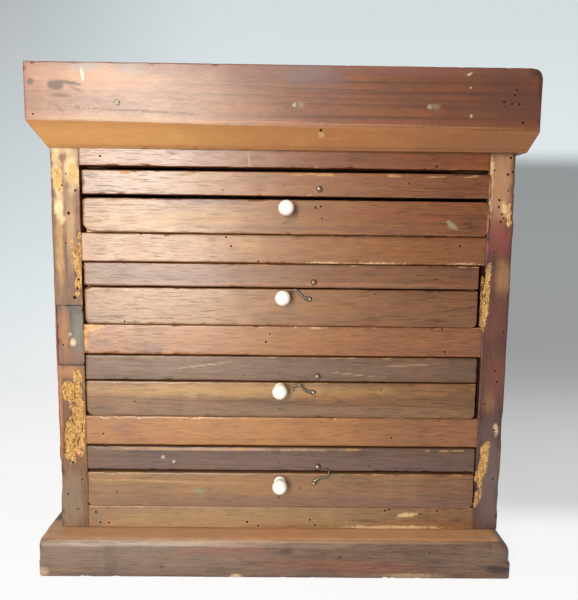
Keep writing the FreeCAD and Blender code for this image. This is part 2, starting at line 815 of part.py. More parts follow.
def hinge_leaf(label, knuckles, bore, upward):
    """A leaf with its knuckles. Its frame has the pin's axis along X, and the wall before it."""
    body = new_body(label, keep=False)
    wall = "0 - knuckle_radius - knuckle_off_wall"
    reach = "(knuckle_radius + knuckle_off_wall)"
    plate_tall = f"leaf_tall - {reach}"
    plate_low = reach if upward else "0 - leaf_tall"
    add_box(body, "plate", ("0", wall, plate_low), "leaf_wide", "leaf_thick", plate_tall)
    tab_low = "0" if upward else f"0 - {reach}"
    for number, (start, long) in enumerate(knuckles, start=1):
        add_box(body, f"tab_{number}", (start, wall, tab_low), long, "leaf_thick", reach)
        feature(body, "AdditiveCylinder", f"roll_{number}", (start, "0", "0"), pitch="90",
                Radius="knuckle_radius", Height=long)
    drill_across(body, "bore", ("0", "0", "0"), bore, "leaf_wide", inward=True)
    return body


OUTER_KNUCKLES = (("0", "knuckle_wide"), ("leaf_wide - knuckle_wide", "knuckle_wide"))
MIDDLE_KNUCKLE = (
    ("knuckle_wide + knuckle_play", "leaf_wide - 2 * knuckle_wide - 2 * knuckle_play"),
)


def build_hinges(case):
    """Two butt hinges. The box carries the outer knuckles and the pin, the lid the middle one."""
    axis = (case.axis_deep, f"{case.tall} + seam_gap / 2")
    fixed = []
    turning = []
    for number, across in enumerate(case.hinges, start=1):
        lower = hinge_leaf(f"{case.name}_leaf_{number}", OUTER_KNUCKLES,
                           "hinge_pin_radius + joint_play / 2", upward=False)
        case.place_box(lower, across, *axis)
        pin = new_body(f"{case.name}_hinge_pin_{number}", keep=False)
        feature(pin, "AdditiveCylinder", "pin", Radius="hinge_pin_radius", Height="leaf_wide")
        case.place_box(pin, across, *axis, pitch="90")
        fixed += [lower, pin]
        upper = hinge_leaf(f"lid_{case.tier}_leaf_{number}", MIDDLE_KNUCKLE,
                           "hinge_pin_radius + hinge_bore_play", upward=True)
        case.place_lid(upper, across)
        turning.append(upper)
    group(f"lid_{case.tier}_leaves", turning)
    return fixed


# ---------------------------------------------------------------- knobs, pins and hooks

def dome(body, at, radius, tall, roll="0"):
    """A cap of a ball that bulges along Z, or towards -Y where the roll is 90."""
    ball = f"(({radius} ^ 2 + {tall} ^ 2) / (2 * {tall}))"
    sunk = f"({ball} - {tall})"
    across, along, up = at
    centre = (across, f"{along} + {sunk}", up) if roll == "90" else (across, along, f"{up} - {sunk}")
    head = feature(body, "AdditiveSphere", "head", centre, roll=roll, Radius=ball)
    bind(head, "Angle1", f"asin({sunk} / {ball})")
    head.Angle2 = 90


def build_knob(case):
    """A turned porcelain knob. Its frame has the turning axis along Z, out of the front."""
    knob = new_body(f"{case.name}_knob")
    feature(knob, "AdditiveCylinder", "foot", Radius="knob_foot_radius", Height="knob_foot_tall")
    feature(knob, "AdditiveCone", "waist", ("0", "0", "knob_foot_tall"),
            Radius1="knob_foot_radius", Radius2="knob_neck_radius", Height="knob_foot_tall")
    feature(knob, "AdditiveCylinder", "neck", Radius="knob_neck_radius", Height="knob_reach")
    feature(knob, "AdditiveSphere", "head", ("0", "0", "knob_reach"), Radius="knob_radius")
    drill(knob, "thread", ("0", "0", "0"), "knob_screw_radius + joint_play",
          "knob_screw_into_head + bore_spare")
    case.place_box(knob, case.knob_x, "0", case.knob_z, roll="90")


def build_fittings(case, hinge_parts):
    """The metal pieces that stay on the box: knob bolt and nut, hook screw, hinge leaves."""
    bolt = new_body(f"{case.name}_knob_bolt", keep=False)
    out = "knob_screw_into_head"
    inward = "(front_thick + knob_nut_tall + knob_bolt_past_nut)"
    feature(bolt, "AdditiveCylinder", "thread", ("0", "0", f"0 - {inward}"),
            Radius="knob_screw_radius", Height=f"{inward} + {out}")
    case.place_box(bolt, case.knob_x, "0", case.knob_z, roll="90")
    nut = new_body(f"{case.name}_knob_nut", keep=False)
    nut_low = "0 - front_thick - knob_nut_tall"
    feature(nut, "AdditivePrism", "hexagon", ("0", "0", nut_low),
            Circumradius="knob_nut_radius", Height="knob_nut_tall")
    drill(nut, "thread", ("0", "0", nut_low), "knob_screw_radius + joint_play", "knob_nut_tall")
    case.place_box(nut, case.knob_x, "0", case.knob_z, roll="90")
    parts = [bolt, nut] + hinge_parts
    if case.tier in HOOKED_TIERS:
        screw = new_body(f"{case.name}_hook_screw", keep=False)
        head_at = "(hook_off_face + hook_thick + hook_play)"
        feature(screw, "AdditiveCylinder", "shank", ("0", "0", "0 - hook_screw_into_wood"),
                Radius="hook_screw_radius", Height=f"hook_screw_into_wood + {head_at}")
        dome(screw, ("0", "0", head_at), "hook_screw_head", "hook_screw_head_tall")
        case.place_box(screw, case.hook_x, "0", case.hook_z, roll="90")
        parts.append(screw)
    group(f"{case.name}_fittings", parts)


def build_pin(case):
    """The round-headed latch pin on the lid's front slat."""
    tier = case.tier
    pin = new_body(f"lid_{tier}_pin")
    low = f"seam_gap / 2 + pin_{tier}_up"
    front_y = f"0 - {case.axis_deep}"
    feature(pin, "AdditiveCylinder", "shank", (case.pin_x, f"{front_y} + pin_into_wood", low),
            roll="90", Radius="pin_shank_radius", Height="pin_into_wood + pin_stand")
    dome(pin, (case.pin_x, f"{front_y} - pin_stand", low), "pin_head_radius", "pin_head_tall",
         roll="90")
    case.place_lid(pin)


def build_hook(case):
    """A flat hook: an eye, a tapering arm and a curl with its mouth to one side."""
    hook = new_body(f"hook_{case.tier}")
    feature(hook, "AdditiveCylinder", "eye", Radius="hook_eye_radius", Height="hook_thick")
    feature(hook, "AdditiveCylinder", "curl", ("hook_reach", "0", "0"),
            Radius="hook_curl_radius", Height="hook_thick")
    arm = plane_sketch(hook, "XY_Plane", "arm_outline")
    polygon(arm, (
        ("0", "0 - hook_eye_radius"),
        ("hook_reach", "0 - hook_curl_radius"),
        ("hook_reach - hook_mouth_radius", "hook_mouth_radius / 2"),
        ("0", "hook_eye_radius"),
    ))
    pad(hook, arm, "hook_thick")
    drill(hook, "mouth", ("hook_reach", "0", "0"), "hook_mouth_radius", "hook_thick")
    way = plane_sketch(hook, "XY_Plane", "mouth_way")
    far = "hook_curl_radius * 2"
    polygon(way, (
        ("hook_reach", "0"),
        (f"hook_reach + {far} * cos(hook_tip_angle)", f"{far} * sin(hook_tip_angle)"),
        (f"hook_reach + {far} * cos(hook_tip_angle)", far),
        ("hook_reach - hook_mouth_radius", far),
        ("hook_reach - hook_mouth_radius", "0"),
    ))
    cut_through(hook, way)
    drill(hook, "eye_hole", ("0", "0", "0"), "hook_screw_radius + hook_play", "hook_thick")
    case.place_box(hook, case.hook_x, "0 - hook_off_face", case.hook_z,
                   pitch=f"0 - hook_{case.tier}_turn", roll="90")


for builder in (build_base, build_rails, build_sides, build_inside, build_cornice, build_nails):
    builder()
for tier in TIERS:
    case = Case(tier)
    build_box(case)
    build_knob(case)
    build_fittings(case, build_hinges(case))
    build_lid(case)
    build_pin(case)
    if tier in HOOKED_TIERS:
        build_hook(case)
document.recompute()


# ---------------------------------------------------------------- check and write

for thing in document.Objects:
    if {"Invalid", "Error"} & set(thing.State):
        raise RuntimeError(f"{thing.Label} failed: {thing.State}")
for node in NODES:
    if node.Shape.isNull() or not node.Shape.isValid():
        raise RuntimeError(f"{node.Label} has no valid shape")

os.makedirs("parts", exist_ok=True)
for node in NODES:
    node.Shape.exportStep(f"parts/{node.Label}.step")
print(f"{len(NODES)} nodes written")
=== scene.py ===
"""A small cabinet of four lidded cases: the looks of its wood, iron, brass and porcelain."""
import json
import logging
import math
from collections.abc import Callable
from dataclasses import dataclass
from enum import Enum
from functools import cache

import bpy
import numpy as np
from mathutils import Matrix, Quaternion, Vector


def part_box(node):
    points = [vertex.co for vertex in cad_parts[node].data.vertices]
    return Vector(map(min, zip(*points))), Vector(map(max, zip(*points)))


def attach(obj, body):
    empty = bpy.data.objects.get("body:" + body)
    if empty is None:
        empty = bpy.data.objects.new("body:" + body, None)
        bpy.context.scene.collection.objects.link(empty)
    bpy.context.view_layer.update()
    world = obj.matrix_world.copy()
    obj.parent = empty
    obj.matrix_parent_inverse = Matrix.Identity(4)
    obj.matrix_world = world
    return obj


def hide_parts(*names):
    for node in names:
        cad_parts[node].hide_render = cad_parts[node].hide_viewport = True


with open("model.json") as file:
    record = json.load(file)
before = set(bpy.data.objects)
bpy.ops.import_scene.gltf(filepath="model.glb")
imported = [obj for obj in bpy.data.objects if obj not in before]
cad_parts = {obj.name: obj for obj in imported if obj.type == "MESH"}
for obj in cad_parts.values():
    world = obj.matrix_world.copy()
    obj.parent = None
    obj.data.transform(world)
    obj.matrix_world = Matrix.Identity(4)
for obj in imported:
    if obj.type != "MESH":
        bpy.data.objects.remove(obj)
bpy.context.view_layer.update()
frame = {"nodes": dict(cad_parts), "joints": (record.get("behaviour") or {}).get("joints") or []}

MM = 0.001
Layers = tuple[np.ndarray, np.ndarray]
log = logging.getLogger("cabinet")


# ---------------------------------------------------------------- numbers and noise

def unevenness(places: np.ndarray, size: float | tuple[float, ...], seed: int = 0) -> np.ndarray:
    """Smooth random values from 0 to 1, the same on each run.

    Args:
        places: Points in millimetres, one row each.
        size: The distance over which the values change, one number or one for each axis.
        seed: Which of the endless patterns is taken.

    Returns:
        One value for each point.
    """
    cells = places / np.asarray(size, float) + seed * 17.31
    low = np.floor(cells).astype(np.int64)
    part = cells - low
    part = part * part * (3 - 2 * part)
    total = np.zeros(len(places))
    for corner in range(8):
        step = np.array([corner & 1, corner >> 1 & 1, corner >> 2 & 1])
        key = low + step
        mixed = (key[:, 0] * 73856093) ^ (key[:, 1] * 19349663) ^ (key[:, 2] * 83492791)
        mixed = (mixed ^ (mixed >> 13) ^ (seed * 7919)) * 1274126177 & 0xFFFFFFFF
        mixed ^= mixed >> 15
        mixed = mixed * 2246822519 & 0xFFFFFFFF
        value = (mixed >> 8 & 0xFFFF) / 65535
        total += value * np.prod(np.where(step == 1, part, 1 - part), axis=1)
    return total


def roughness_of(places: np.ndarray, size: float | tuple[float, ...], seed: int = 0,
                 layers: int = 3) -> np.ndarray:
    """Unevenness in several layers, each half the size and half the strength of the last.

    Args:
        places: Points in millimetres.
        size: The distance over which the coarsest layer changes.
        seed: Which pattern is taken.
        layers: How many layers are added.

    Returns:
        One value for each point, about 0 to 1.
    """
    total = np.zeros(len(places))
    whole = 0.0
    for layer in range(layers):
        share = 0.5 ** layer
        finer = np.asarray(size, float) * share
        total += share * unevenness(places, finer, seed + layer * 31)
        whole += share
    return total / whole


def ease(low: float, high: float, values: np.ndarray) -> np.ndarray:
    """A soft step: 0 below low, 1 above high and a smooth rise between them."""
    part = np.clip((values - low) / (high - low), 0, 1)
    return part * part * (3 - 2 * part)


def graded(low: float, high: float, fine: float, coarse: float,
           growth: float = 1.4) -> np.ndarray:
    """Lines between two places, close together at both ends and wider apart between them.

    Args:
        low: The first place.
        high: The last place.
        fine: The first step from either end.
        coarse: The widest step.
        growth: How much wider each step is than the one before it.

    Returns:
        The places in order.
    """
    half = (high - low) / 2
    places = [0.0]
    step = fine
    while places[-1] + step < half:
        places.append(places[-1] + step)
        step = min(step * growth, coarse)
    left = low + np.array(places)
    right = high - np.array(places)[::-1]
    if right[0] - left[-1] < 0.4 * fine:
        right = right[1:]
    return np.concatenate([left, right])


# ---------------------------------------------------------------- frame and objects

def box_of(node: str) -> list[np.ndarray]:
    """The lowest and the highest corner of a piece of the frame, in millimetres."""
    return [np.array(corner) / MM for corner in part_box(node)]


def joint_of(name: str) -> dict:
    """The joint of the frame with this name."""
    return next(joint for joint in frame["joints"] if joint["name"] == name)


def add_object(name: str, data: bpy.types.ID) -> bpy.types.Object:
    """A new object in the scene that shows this mesh, light or camera.

    Args:
        name: Its name.
        data: The mesh, light or camera.

    Returns:
        The object.
    """
    made = bpy.data.objects.new(name, data)
    bpy.context.scene.collection.objects.link(made)
    return made


def keep_result(made: bpy.types.Object, step: bpy.types.Modifier) -> None:
    """Makes what a modifier does to an object its plain mesh, and takes the modifier off.

    Args:
        made: The object.
        step: Its only modifier.
    """
    bpy.context.view_layer.update()
    graph = bpy.context.evaluated_depsgraph_get()
    mesh = bpy.data.meshes.new_from_object(made.evaluated_get(graph))
    made.modifiers.remove(step)
    old = made.data
    made.data = mesh
    bpy.data.meshes.remove(old)


# ---------------------------------------------------------------- sheets of faces

@dataclass
class Shell:
    """A closed skin of faces with four sides. Its points are in millimetres."""

    points: np.ndarray
    faces: np.ndarray

    @classmethod
    def slab(cls, across: np.ndarray, deep: np.ndarray, up: np.ndarray) -> "Shell":
        """The skin of a block that is divided along each side.

        Args:
            across: Where the dividing lines are along X.
            deep: Where they are along Y.
            up: Where they are along Z.

        Returns:
            The skin, with its faces outwards.
        """
        sizes = (len(across), len(deep), len(up))
        outer = np.zeros(sizes, bool)
        outer[0] = outer[-1] = True
        outer[:, 0] = outer[:, -1] = True
        outer[:, :, 0] = outer[:, :, -1] = True
        spots = np.argwhere(outer)
        number = -np.ones(sizes, int)
        number[tuple(spots.T)] = np.arange(len(spots))
        points = np.stack([across[spots[:, 0]], deep[spots[:, 1]], up[spots[:, 2]]], axis=1)
        faces = []
        for axis in range(3):
            for end in (0, -1):
                sheet = np.take(number, end, axis=axis)
                ring = (sheet[:-1, :-1], sheet[1:, :-1], sheet[1:, 1:], sheet[:-1, 1:])
                quads = np.stack(ring, axis=-1).reshape(-1, 4)
                outward = (end == -1) != (axis == 1)
                faces.append(quads if outward else quads[:, ::-1])
        return cls(points, np.concatenate(faces))

    @classmethod
    def turned(cls, profile: list[tuple[float, float]], sides: int = 32) -> "Shell":
        """A solid of revolution about the Y axis that comes out of a front, towards -Y.

        Args:
            profile: Radius and reach in front, from the back to the tip, both ends at radius 0.
            sides: How many faces go round.

        Returns:
            The skin, closed at both ends.
        """
        turn = np.arange(sides) * 2 * math.pi / sides
        rings = []
        for radius, reach in profile[1:-1]:
            ring = [np.cos(turn) * radius, np.full(sides, -reach), np.sin(turn) * radius]
            rings.append(np.stack(ring, axis=1))
        ends = np.array([[0, -profile[0][1], 0], [0, -profile[-1][1], 0]], float)
        points = np.concatenate([*rings, ends])
        here = np.arange(sides)
        after = (here + 1) % sides
        faces = []
        for level in range(len(rings) - 1):
            one, two = level * sides, (level + 1) * sides
            faces.append(np.stack([one + here, one + after, two + after, two + here], axis=1))
        back, tip = len(rings) * sides, len(rings) * sides + 1
        last = (len(rings) - 1) * sides
        faces.append(np.stack([np.full(sides, back), after, here, here], axis=1))
        faces.append(np.stack([np.full(sides, tip), last + here, last + after, last + after],
                              axis=1))
        return cls(points, np.concatenate(faces))

    def moved(self, offset: tuple[float, float, float]) -> "Shell":
        """The same skin in another place."""
        return Shell(self.points + np.array(offset, float), self.faces)

    def with_others(self, *others: "Shell") -> "Shell":
        """One skin of several separate pieces.

        Args:
            others: The further skins.

        Returns:
            A skin with all their points and faces.
        """
        points = [self.points]
        faces = [self.faces]
        count = len(self.points)
        for other in others:
            points.append(other.points)
            faces.append(other.faces + count)
            count += len(other.points)
        return Shell(np.concatenate(points), np.concatenate(faces))

    def soften(self, low: np.ndarray, high: np.ndarray, low_round: np.ndarray,
               high_round: np.ndarray) -> None:
        """Rounds the edges of a block, by amounts that may change from place to place.

        Args:
            low: The block's lowest corner.
            high: Its highest corner.
            low_round: The rounding next to the low sides, one row for each point.
            high_round: The rounding next to the high sides.
        """
        inner_low = low + low_round
        inner_high = high - high_round
        core = np.clip(self.points, inner_low, inner_high)
        reach = np.where(self.points < inner_low, low_round, high_round)
        way = (self.points - core) / np.maximum(reach, 1e-6)
        length = np.sqrt((way ** 2).sum(axis=1, keepdims=True))
        self.points = np.where(length > 1, core + reach * way / np.maximum(length, 1), self.points)

    def to_mesh(self, name: str) -> bpy.types.Object:
        """Makes the skin an object.

        Args:
            name: The object's name.

        Returns:
            The new object in the scene.
        """
        mesh = bpy.data.meshes.new(name)
        rows = [list(dict.fromkeys(face)) for face in self.faces.tolist()]
        mesh.from_pydata((self.points * MM).tolist(), [], rows)
        mesh.update()
        return add_object(name, mesh)


def edge_gap(points: np.ndarray, low: np.ndarray, high: np.ndarray) -> np.ndarray:
    """How far points on a block's skin are from its nearest edge.

    Args:
        points: Points on or near the skin.
        low: The block's lowest corner.
        high: Its highest corner.

    Returns:
        One distance for each point.
    """
    near = np.minimum(points - low, high - points)
    return np.sort(near, axis=1)[:, 1]


# ---------------------------------------------------------------- shader workbench

class Signal:
    """A value or colour on its way through a material, which answers to + - * / and **."""

    def __init__(self, bench: "Bench", socket: bpy.types.NodeSocket) -> None:
        """Takes hold of one output socket of a node on the bench."""
        self.bench = bench
        self.socket = socket

    def _sum(self, operation: str, one: object, two: object) -> "Signal":
        """One Math node on two values."""
        return self.bench.node("ShaderNodeMath", {"operation": operation}, {0: one, 1: two})

    def __add__(self, other: object) -> "Signal":
        """Adds."""
        return self._sum("ADD", self, other)

    __radd__ = __add__

    def __sub__(self, other: object) -> "Signal":
        """Takes away."""
        return self._sum("SUBTRACT", self, other)

    def __rsub__(self, other: object) -> "Signal":
        """Takes this from a number."""
        return self._sum("SUBTRACT", other, self)

    def __mul__(self, other: object) -> "Signal":
        """Multiplies."""
        return self._sum("MULTIPLY", self, other)

    __rmul__ = __mul__

    def __truediv__(self, other: object) -> "Signal":
        """Divides."""
        return self._sum("DIVIDE", self, other)

    def __pow__(self, other: object) -> "Signal":
        """Raises to a power."""
        return self._sum("POWER", self, other)

    def most(self, other: object) -> "Signal":
        """The larger of two values."""
        return self._sum("MAXIMUM", self, other)

    def least(self, other: object) -> "Signal":
        """The smaller of two values."""
        return self._sum("MINIMUM", self, other)

    def whole(self) -> "Signal":
        """The value without its fraction."""
        return self.bench.node("ShaderNodeMath", {"operation": "FLOOR"}, {0: self})

    def fraction(self) -> "Signal":
        """The fraction of the value."""
        return self.bench.node("ShaderNodeMath", {"operation": "FRACT"}, {0: self})

    def root(self) -> "Signal":
        """The square root of the value."""
        return self.bench.node("ShaderNodeMath", {"operation": "SQRT"}, {0: self})

    def step(self, low: float, high: float, first: float = 0.0, last: float = 1.0) -> "Signal":
        """A soft step between two values.

        Args:
            low: Where the step begins.
            high: Where it ends.
            first: The result below it.
            last: The result above it.

        Returns:
            The stepped value.
        """
        return self.bench.node("ShaderNodeMapRange", {"interpolation_type": "SMOOTHSTEP"},
                               {0: self, 1: low, 2: high, 3: first, 4: last})

    def parts(self) -> tuple["Signal", "Signal", "Signal"]:
        """The three parts of a vector or colour."""
        node = self.bench.node("ShaderNodeSeparateXYZ", {}, {0: self}).socket.node
        return tuple(Signal(self.bench, socket) for socket in node.outputs)

    def scaled(self, amount: object) -> "Signal":
        """A colour or vector times a value."""
        return self.bench.node("ShaderNodeVectorMath", {"operation": "SCALE"},
                               {0: self, 3: amount})

    def plus(self, other: object) -> "Signal":
        """The sum of two colours or vectors."""
        return self.bench.node("ShaderNodeVectorMath", {"operation": "ADD"}, {0: self, 1: other})

    def times(self, other: object) -> "Signal":
        """The product of two colours, part by part."""
        return self.bench.node("ShaderNodeVectorMath", {"operation": "MULTIPLY"},
                               {0: self, 1: other})


@dataclass(frozen=True)
class Tone:
    """A colour as a screen shows it, each part from 0 to 255."""

    red: float
    green: float
    blue: float

    def linear(self) -> tuple[float, float, float]:
        """The colour as light, each part from 0 to 1.

        Returns:
            Red, green and blue.
        """
        parts = []
        for part in (self.red, self.green, self.blue):
            share = part / 255
            parts.append(share / 12.92 if share <= 0.04045 else ((share + 0.055) / 1.055) ** 2.4)
        return tuple(parts)

    def rgba(self) -> tuple[float, float, float, float]:
        """The colour as light, with a full alpha."""
        return (*self.linear(), 1.0)


class Bench:
    """The node tree of one material while it is being made."""

    def __init__(self, name: str) -> None:
        """Starts an empty material with this name."""
        self.material = bpy.data.materials.new(name)
        self.material.use_nodes = True
        self.tree = self.material.node_tree
        self.tree.nodes.clear()

    def node(self, kind: str, settings: dict | None = None, inputs: dict | None = None,
             out: int | str = 0) -> Signal:
        """Adds one node.

        Args:
            kind: The node's type.
            settings: Its properties, set first. A ramp's stops are a list under "stops".
            inputs: Values or signals by the socket's number or name.
            out: The output that is wanted.

        Returns:
            That output as a signal.
        """
        made = self.tree.nodes.new(kind)
        for key, value in (settings or {}).items():
            if key == "stops":
                self._set_stops(made.color_ramp, value)
            else:
                setattr(made, key, value)
        for key, value in (inputs or {}).items():
            socket = made.inputs[key]
            if isinstance(value, Signal):
                self.tree.links.new(value.socket, socket)
            elif isinstance(value, Tone):
                socket.default_value = value.rgba() if socket.type == "RGBA" else value.linear()
            else:
                socket.default_value = value
        return Signal(self, made.outputs[out])

    @staticmethod
    def _set_stops(ramp: bpy.types.ColorRamp, stops: list[tuple[float, Tone]]) -> None:
        """Gives a colour ramp its stops.

        Args:
            ramp: The ramp.
            stops: The place and the colour of each stop.
        """
        while len(ramp.elements) > 1:
            ramp.elements.remove(ramp.elements[-1])
        for number, (place, tone) in enumerate(stops):
            stop = ramp.elements[0] if number == 0 else ramp.elements.new(place)
            stop.position = place
            stop.color = tone.rgba()

    def place(self) -> tuple[Signal, Signal, Signal]:
        """Where the surface is, in millimetres, as three values."""
        coordinates = self.node("ShaderNodeTexCoord", {}, {}, "Object")
        return coordinates.scaled(1 / MM).parts()

    def vector(self, across: object, deep: object, up: object) -> Signal:
        """Three values as one vector."""
        return self.node("ShaderNodeCombineXYZ", {}, {0: across, 1: deep, 2: up})

    def noise(self, place: Signal, detail: float = 2.0, rough: float = 0.5,
              warp: float = 0.0) -> Signal:
        """Smooth noise of size 1 at a place, 0 to 1 about 0.5.

        Args:
            place: The place as a vector.
            detail: How many finer layers it has.
            rough: How strong the finer layers are.
            warp: How far it is pulled about.

        Returns:
            The noise.
        """
        return self.node("ShaderNodeTexNoise", {},
                         {"Vector": place, "Scale": 1.0, "Detail": detail, "Roughness": rough,
                          "Distortion": warp}, "Fac")

    def mix(self, share: object, one: object, two: object) -> Signal:
        """A blend of two colours."""
        return self.node("ShaderNodeMix", {"data_type": "RGBA"}, {0: share, 6: one, 7: two}, 2)

    def bump(self, height: object, deep: float = 0.25, strength: float = 0.5) -> Signal:
        """How the surface faces where a height from 0 to 1 stands for so many millimetres."""
        return self.node("ShaderNodeBump", {},
                         {"Strength": strength, "Distance": deep * MM, "Height": height})

    def painted(self, name: str) -> tuple[Signal, Signal]:
        """The colour and the alpha of a layer that is painted on the mesh."""
        colour = self.node("ShaderNodeAttribute", {"attribute_name": name}, {}, "Color")
        return colour, Signal(self, colour.socket.node.outputs["Alpha"])

    def solid(self, colour: object, rough: object, others: dict) -> bpy.types.Material:
        """Ends the material with one Principled surface.

        Args:
            colour: Its base colour.
            rough: Its roughness.
            others: Further inputs by their names.

        Returns:
            The material.
        """
        return self.finish(self.node("ShaderNodeBsdfPrincipled", {},
                                     {"Base Color": colour, "Roughness": rough, **others}))

    def finish(self, surface: Signal) -> bpy.types.Material:
        """Ends the material with this surface and hands it over.

        Args:
            surface: The finished shader.

        Returns:
            The material.
        """
        end = self.tree.nodes.new("ShaderNodeOutputMaterial")
        self.tree.links.new(surface.socket, end.inputs["Surface"])
        return self.material


# ---------------------------------------------------------------- finishes

class Grain(Enum):
    """Which way the wood's fibres run."""

    ACROSS = (0, 1, 2)
    DEEP = (1, 0, 2)
    UPRIGHT = (2, 0, 1)


@dataclass(frozen=True)
class WoodFinish:
    """Old softwood: growth rings, fibres, stain, rubbed edges, dust with painted shade near its
    edges and joints, and painted shade in worm tunnels.
    """

    name: str
    pale: Tone
    deep: Tone
    stain: Tone
    worn: Tone = Tone(172, 130, 84)
    # the colour of dust and of the shade painted near edges and joints
    dirt_and_shade_tone: Tone = Tone(38, 24, 18)
    grain: Grain = Grain.ACROSS
    heart: tuple[float, float] = (-110.0, -45.0)
    ring_gap: float = 5.5
    tilt: float = 0.02
    contrast: float = 0.8
    stained: float = 0.6
    rough: float = 0.42
    varnish: float = 0.85
    blur: float = 0.27
    scuffed: float = 0.4
    streaked: float = 0.42
    seed: float = 1.0

    def make(self, plain: bool = False) -> bpy.types.Material:
        """Builds the material.

        Args:
            plain: Whether the piece has no painted layers.

        Returns:
            A wood material on Object coordinates and on the painted layers tint and state.
        """
        bench = Bench(f"{self.name}_plain" if plain else self.name)
        place = bench.place()
        along, over, up = (place[axis] for axis in self.grain.value)

        def grown(long: float, wide: float, detail: float = 3.0, rough: float = 0.6,
                  shift: float = 0.0) -> Signal:
            """Noise that is drawn out along the grain.

            Args:
                long: Its size along the grain in millimetres.
                wide: Its size across the grain.
                detail: How many finer layers it has.
                rough: How strong they are.
                shift: Where in the endless noise it starts.

            Returns:
                The noise.
            """
            start = self.seed * 3.7 + shift
            return bench.noise(bench.vector(along / long + start, over / wide, up / wide + start),
                               detail, rough)

        wander = grown(230, 52, 1.0)
        sway = grown(70, 24, 2.0)
        side = over - self.heart[0] + (wander - 0.5) * 18
        rise = up - self.heart[1] + (sway - 0.5) * 6 + along * self.tilt
        ring = (side * side + rise * rise).root() / self.ring_gap + wander * 1.5
        part = ring.fraction()
        each = bench.node("ShaderNodeTexWhiteNoise", {"noise_dimensions": "1D"},
                          {"W": ring.whole() + self.seed}, "Value")
        late = (part ** 5.0 + part * 0.22) * part.step(0.93, 1.0, 1.0, 0.0) * (0.25 + each * 0.75)

        fibre = grown(50, 0.8, 4.0, 0.62)
        pore = grown(12, 0.4, 2.0, 0.5, 5.1)
        dash = grown(18, 0.85, 2.0, 0.55, 9.3).step(0.54, 0.61)
        mottle = grown(15, 6.5, 4.0, 0.65, 2.2)
        blotch = grown(58, 17, 4.0, 0.62, 7.9)
        scuff = grown(3.6, 1.3, 4.0, 0.7, 4.4)
        fleck = grown(8, 0.55, 2.0, 0.6, 6.6)

        colour = bench.mix(late * self.contrast, self.pale, self.deep)
        colour = bench.mix(blotch.step(0.44, 0.62) * self.stained, colour, self.stain)
        shade = 0.79 + fibre * 0.28 + (pore - 0.5) * 0.3 + (mottle - 0.5) * 0.6
        shade = shade * (1 - dash * self.streaked) + (fleck - 0.5) * 0.5
        colour = colour.scaled(shade)

        if plain:
            rough = (self.rough + (fibre - 0.5) * 0.14).least(0.95)
            return bench.solid(colour, rough, {"Normal": bench.bump(fibre + pore * 0.5)})

        tint, cover = bench.painted("tint")
        colour = colour.scaled(1 - cover).plus(tint.scaled(0.55 + shade * 0.5))
        state, tunnel_shade = bench.painted("state")
        # the state layer holds wear, dust with painted shade near edges and joints, and eaten
        # places; its alpha holds the painted shade of the tunnels
        wear, dust, frass = state.parts()
        rubbed = (wear * 1.4 + (fibre - 0.5) * 0.7 + (mottle - 0.5)).step(0.45, 0.95)
        worn = rubbed.most(scuff.step(0.64, 0.78) * self.scuffed)
        colour = bench.mix(worn * 0.6, colour, self.worn)
        # dust, and painted shade near edges and joints, darken the colour and dull the varnish
        dirt_and_shade = (dust * 1.2 + (scuff - 0.5) * 0.5).step(0.1, 1.0)
        colour = bench.mix(dirt_and_shade * 0.9, colour, self.dirt_and_shade_tone)
        crack = grown(4.5, 0.9, 4.0, 0.7, 1.6)
        crumb = bench.mix(crack.step(0.4, 0.56), Tone(84, 50, 27), Tone(204, 166, 104))
        crumb = bench.mix(mottle.step(0.45, 0.7) * 0.5, crumb, Tone(196, 150, 84))
        eaten = (frass * 1.4 + (crack - 0.5) * 1.1).step(0.3, 0.7)
        colour = bench.mix(eaten, colour, crumb)
        # the tunnels are painted near black: painted shade in the recesses
        colour = bench.mix(tunnel_shade.step(0.2, 0.85), colour, Tone(30, 17, 11))

        rough = self.rough + (fibre - 0.5) * 0.12 + worn * 0.2 + dirt_and_shade * 0.2 + eaten * 0.4
        rough = (rough + (blotch - 0.5) * 0.14).most(0.12).least(0.95)
        coat = (1 - worn * 0.8) * (1 - eaten) * (1 - dirt_and_shade * 0.8) * (1 - cover * 0.7)
        coat = coat * self.varnish
        coat = coat * (1 - dash * self.streaked * 2) * fleck.step(0.36, 0.55, 0.6, 1.0)
        height = fibre * 0.4 + pore * 0.3 - late * 0.3 + eaten * crack * 2.0 - dirt_and_shade * 0.2
        return bench.solid(colour, rough, {"Coat Weight": coat, "Coat Roughness": self.blur,
                                           "Normal": bench.bump(height), "IOR": 1.5})


@dataclass(frozen=True)
class MetalFinish:
    """Old metal: a ground colour, tarnish in patches and rubbed high places."""

    name: str
    bright: Tone
    tarnish: Tone
    covered: float = 0.6
    rough: float = 0.34
    size: float = 2.4
    shine: float = 1.0

    def make(self) -> bpy.types.Material:
        """Builds the material.

        Returns:
            A metal material on Object coordinates.
        """
        bench = Bench(self.name)
        across, deep, up = bench.place()
        spot = bench.vector(across / self.size, deep / self.size, up / self.size)
        patch = bench.noise(spot, 5.0, 0.65, 0.8)
        fine = bench.noise(spot.scaled(6.0), 3.0, 0.6)
        dull = (patch + (fine - 0.5) * 0.35).step(0.62 - self.covered * 0.4, 0.72)
        colour = bench.mix(dull, self.bright, self.tarnish).scaled(0.8 + fine * 0.4)
        rough = self.rough + dull * 0.3 + (fine - 0.5) * 0.2
        return bench.solid(colour, rough, {"Metallic": self.shine * (1 - dull * 0.55),
                                           "Normal": bench.bump(fine + dull, 0.1, 0.4)})


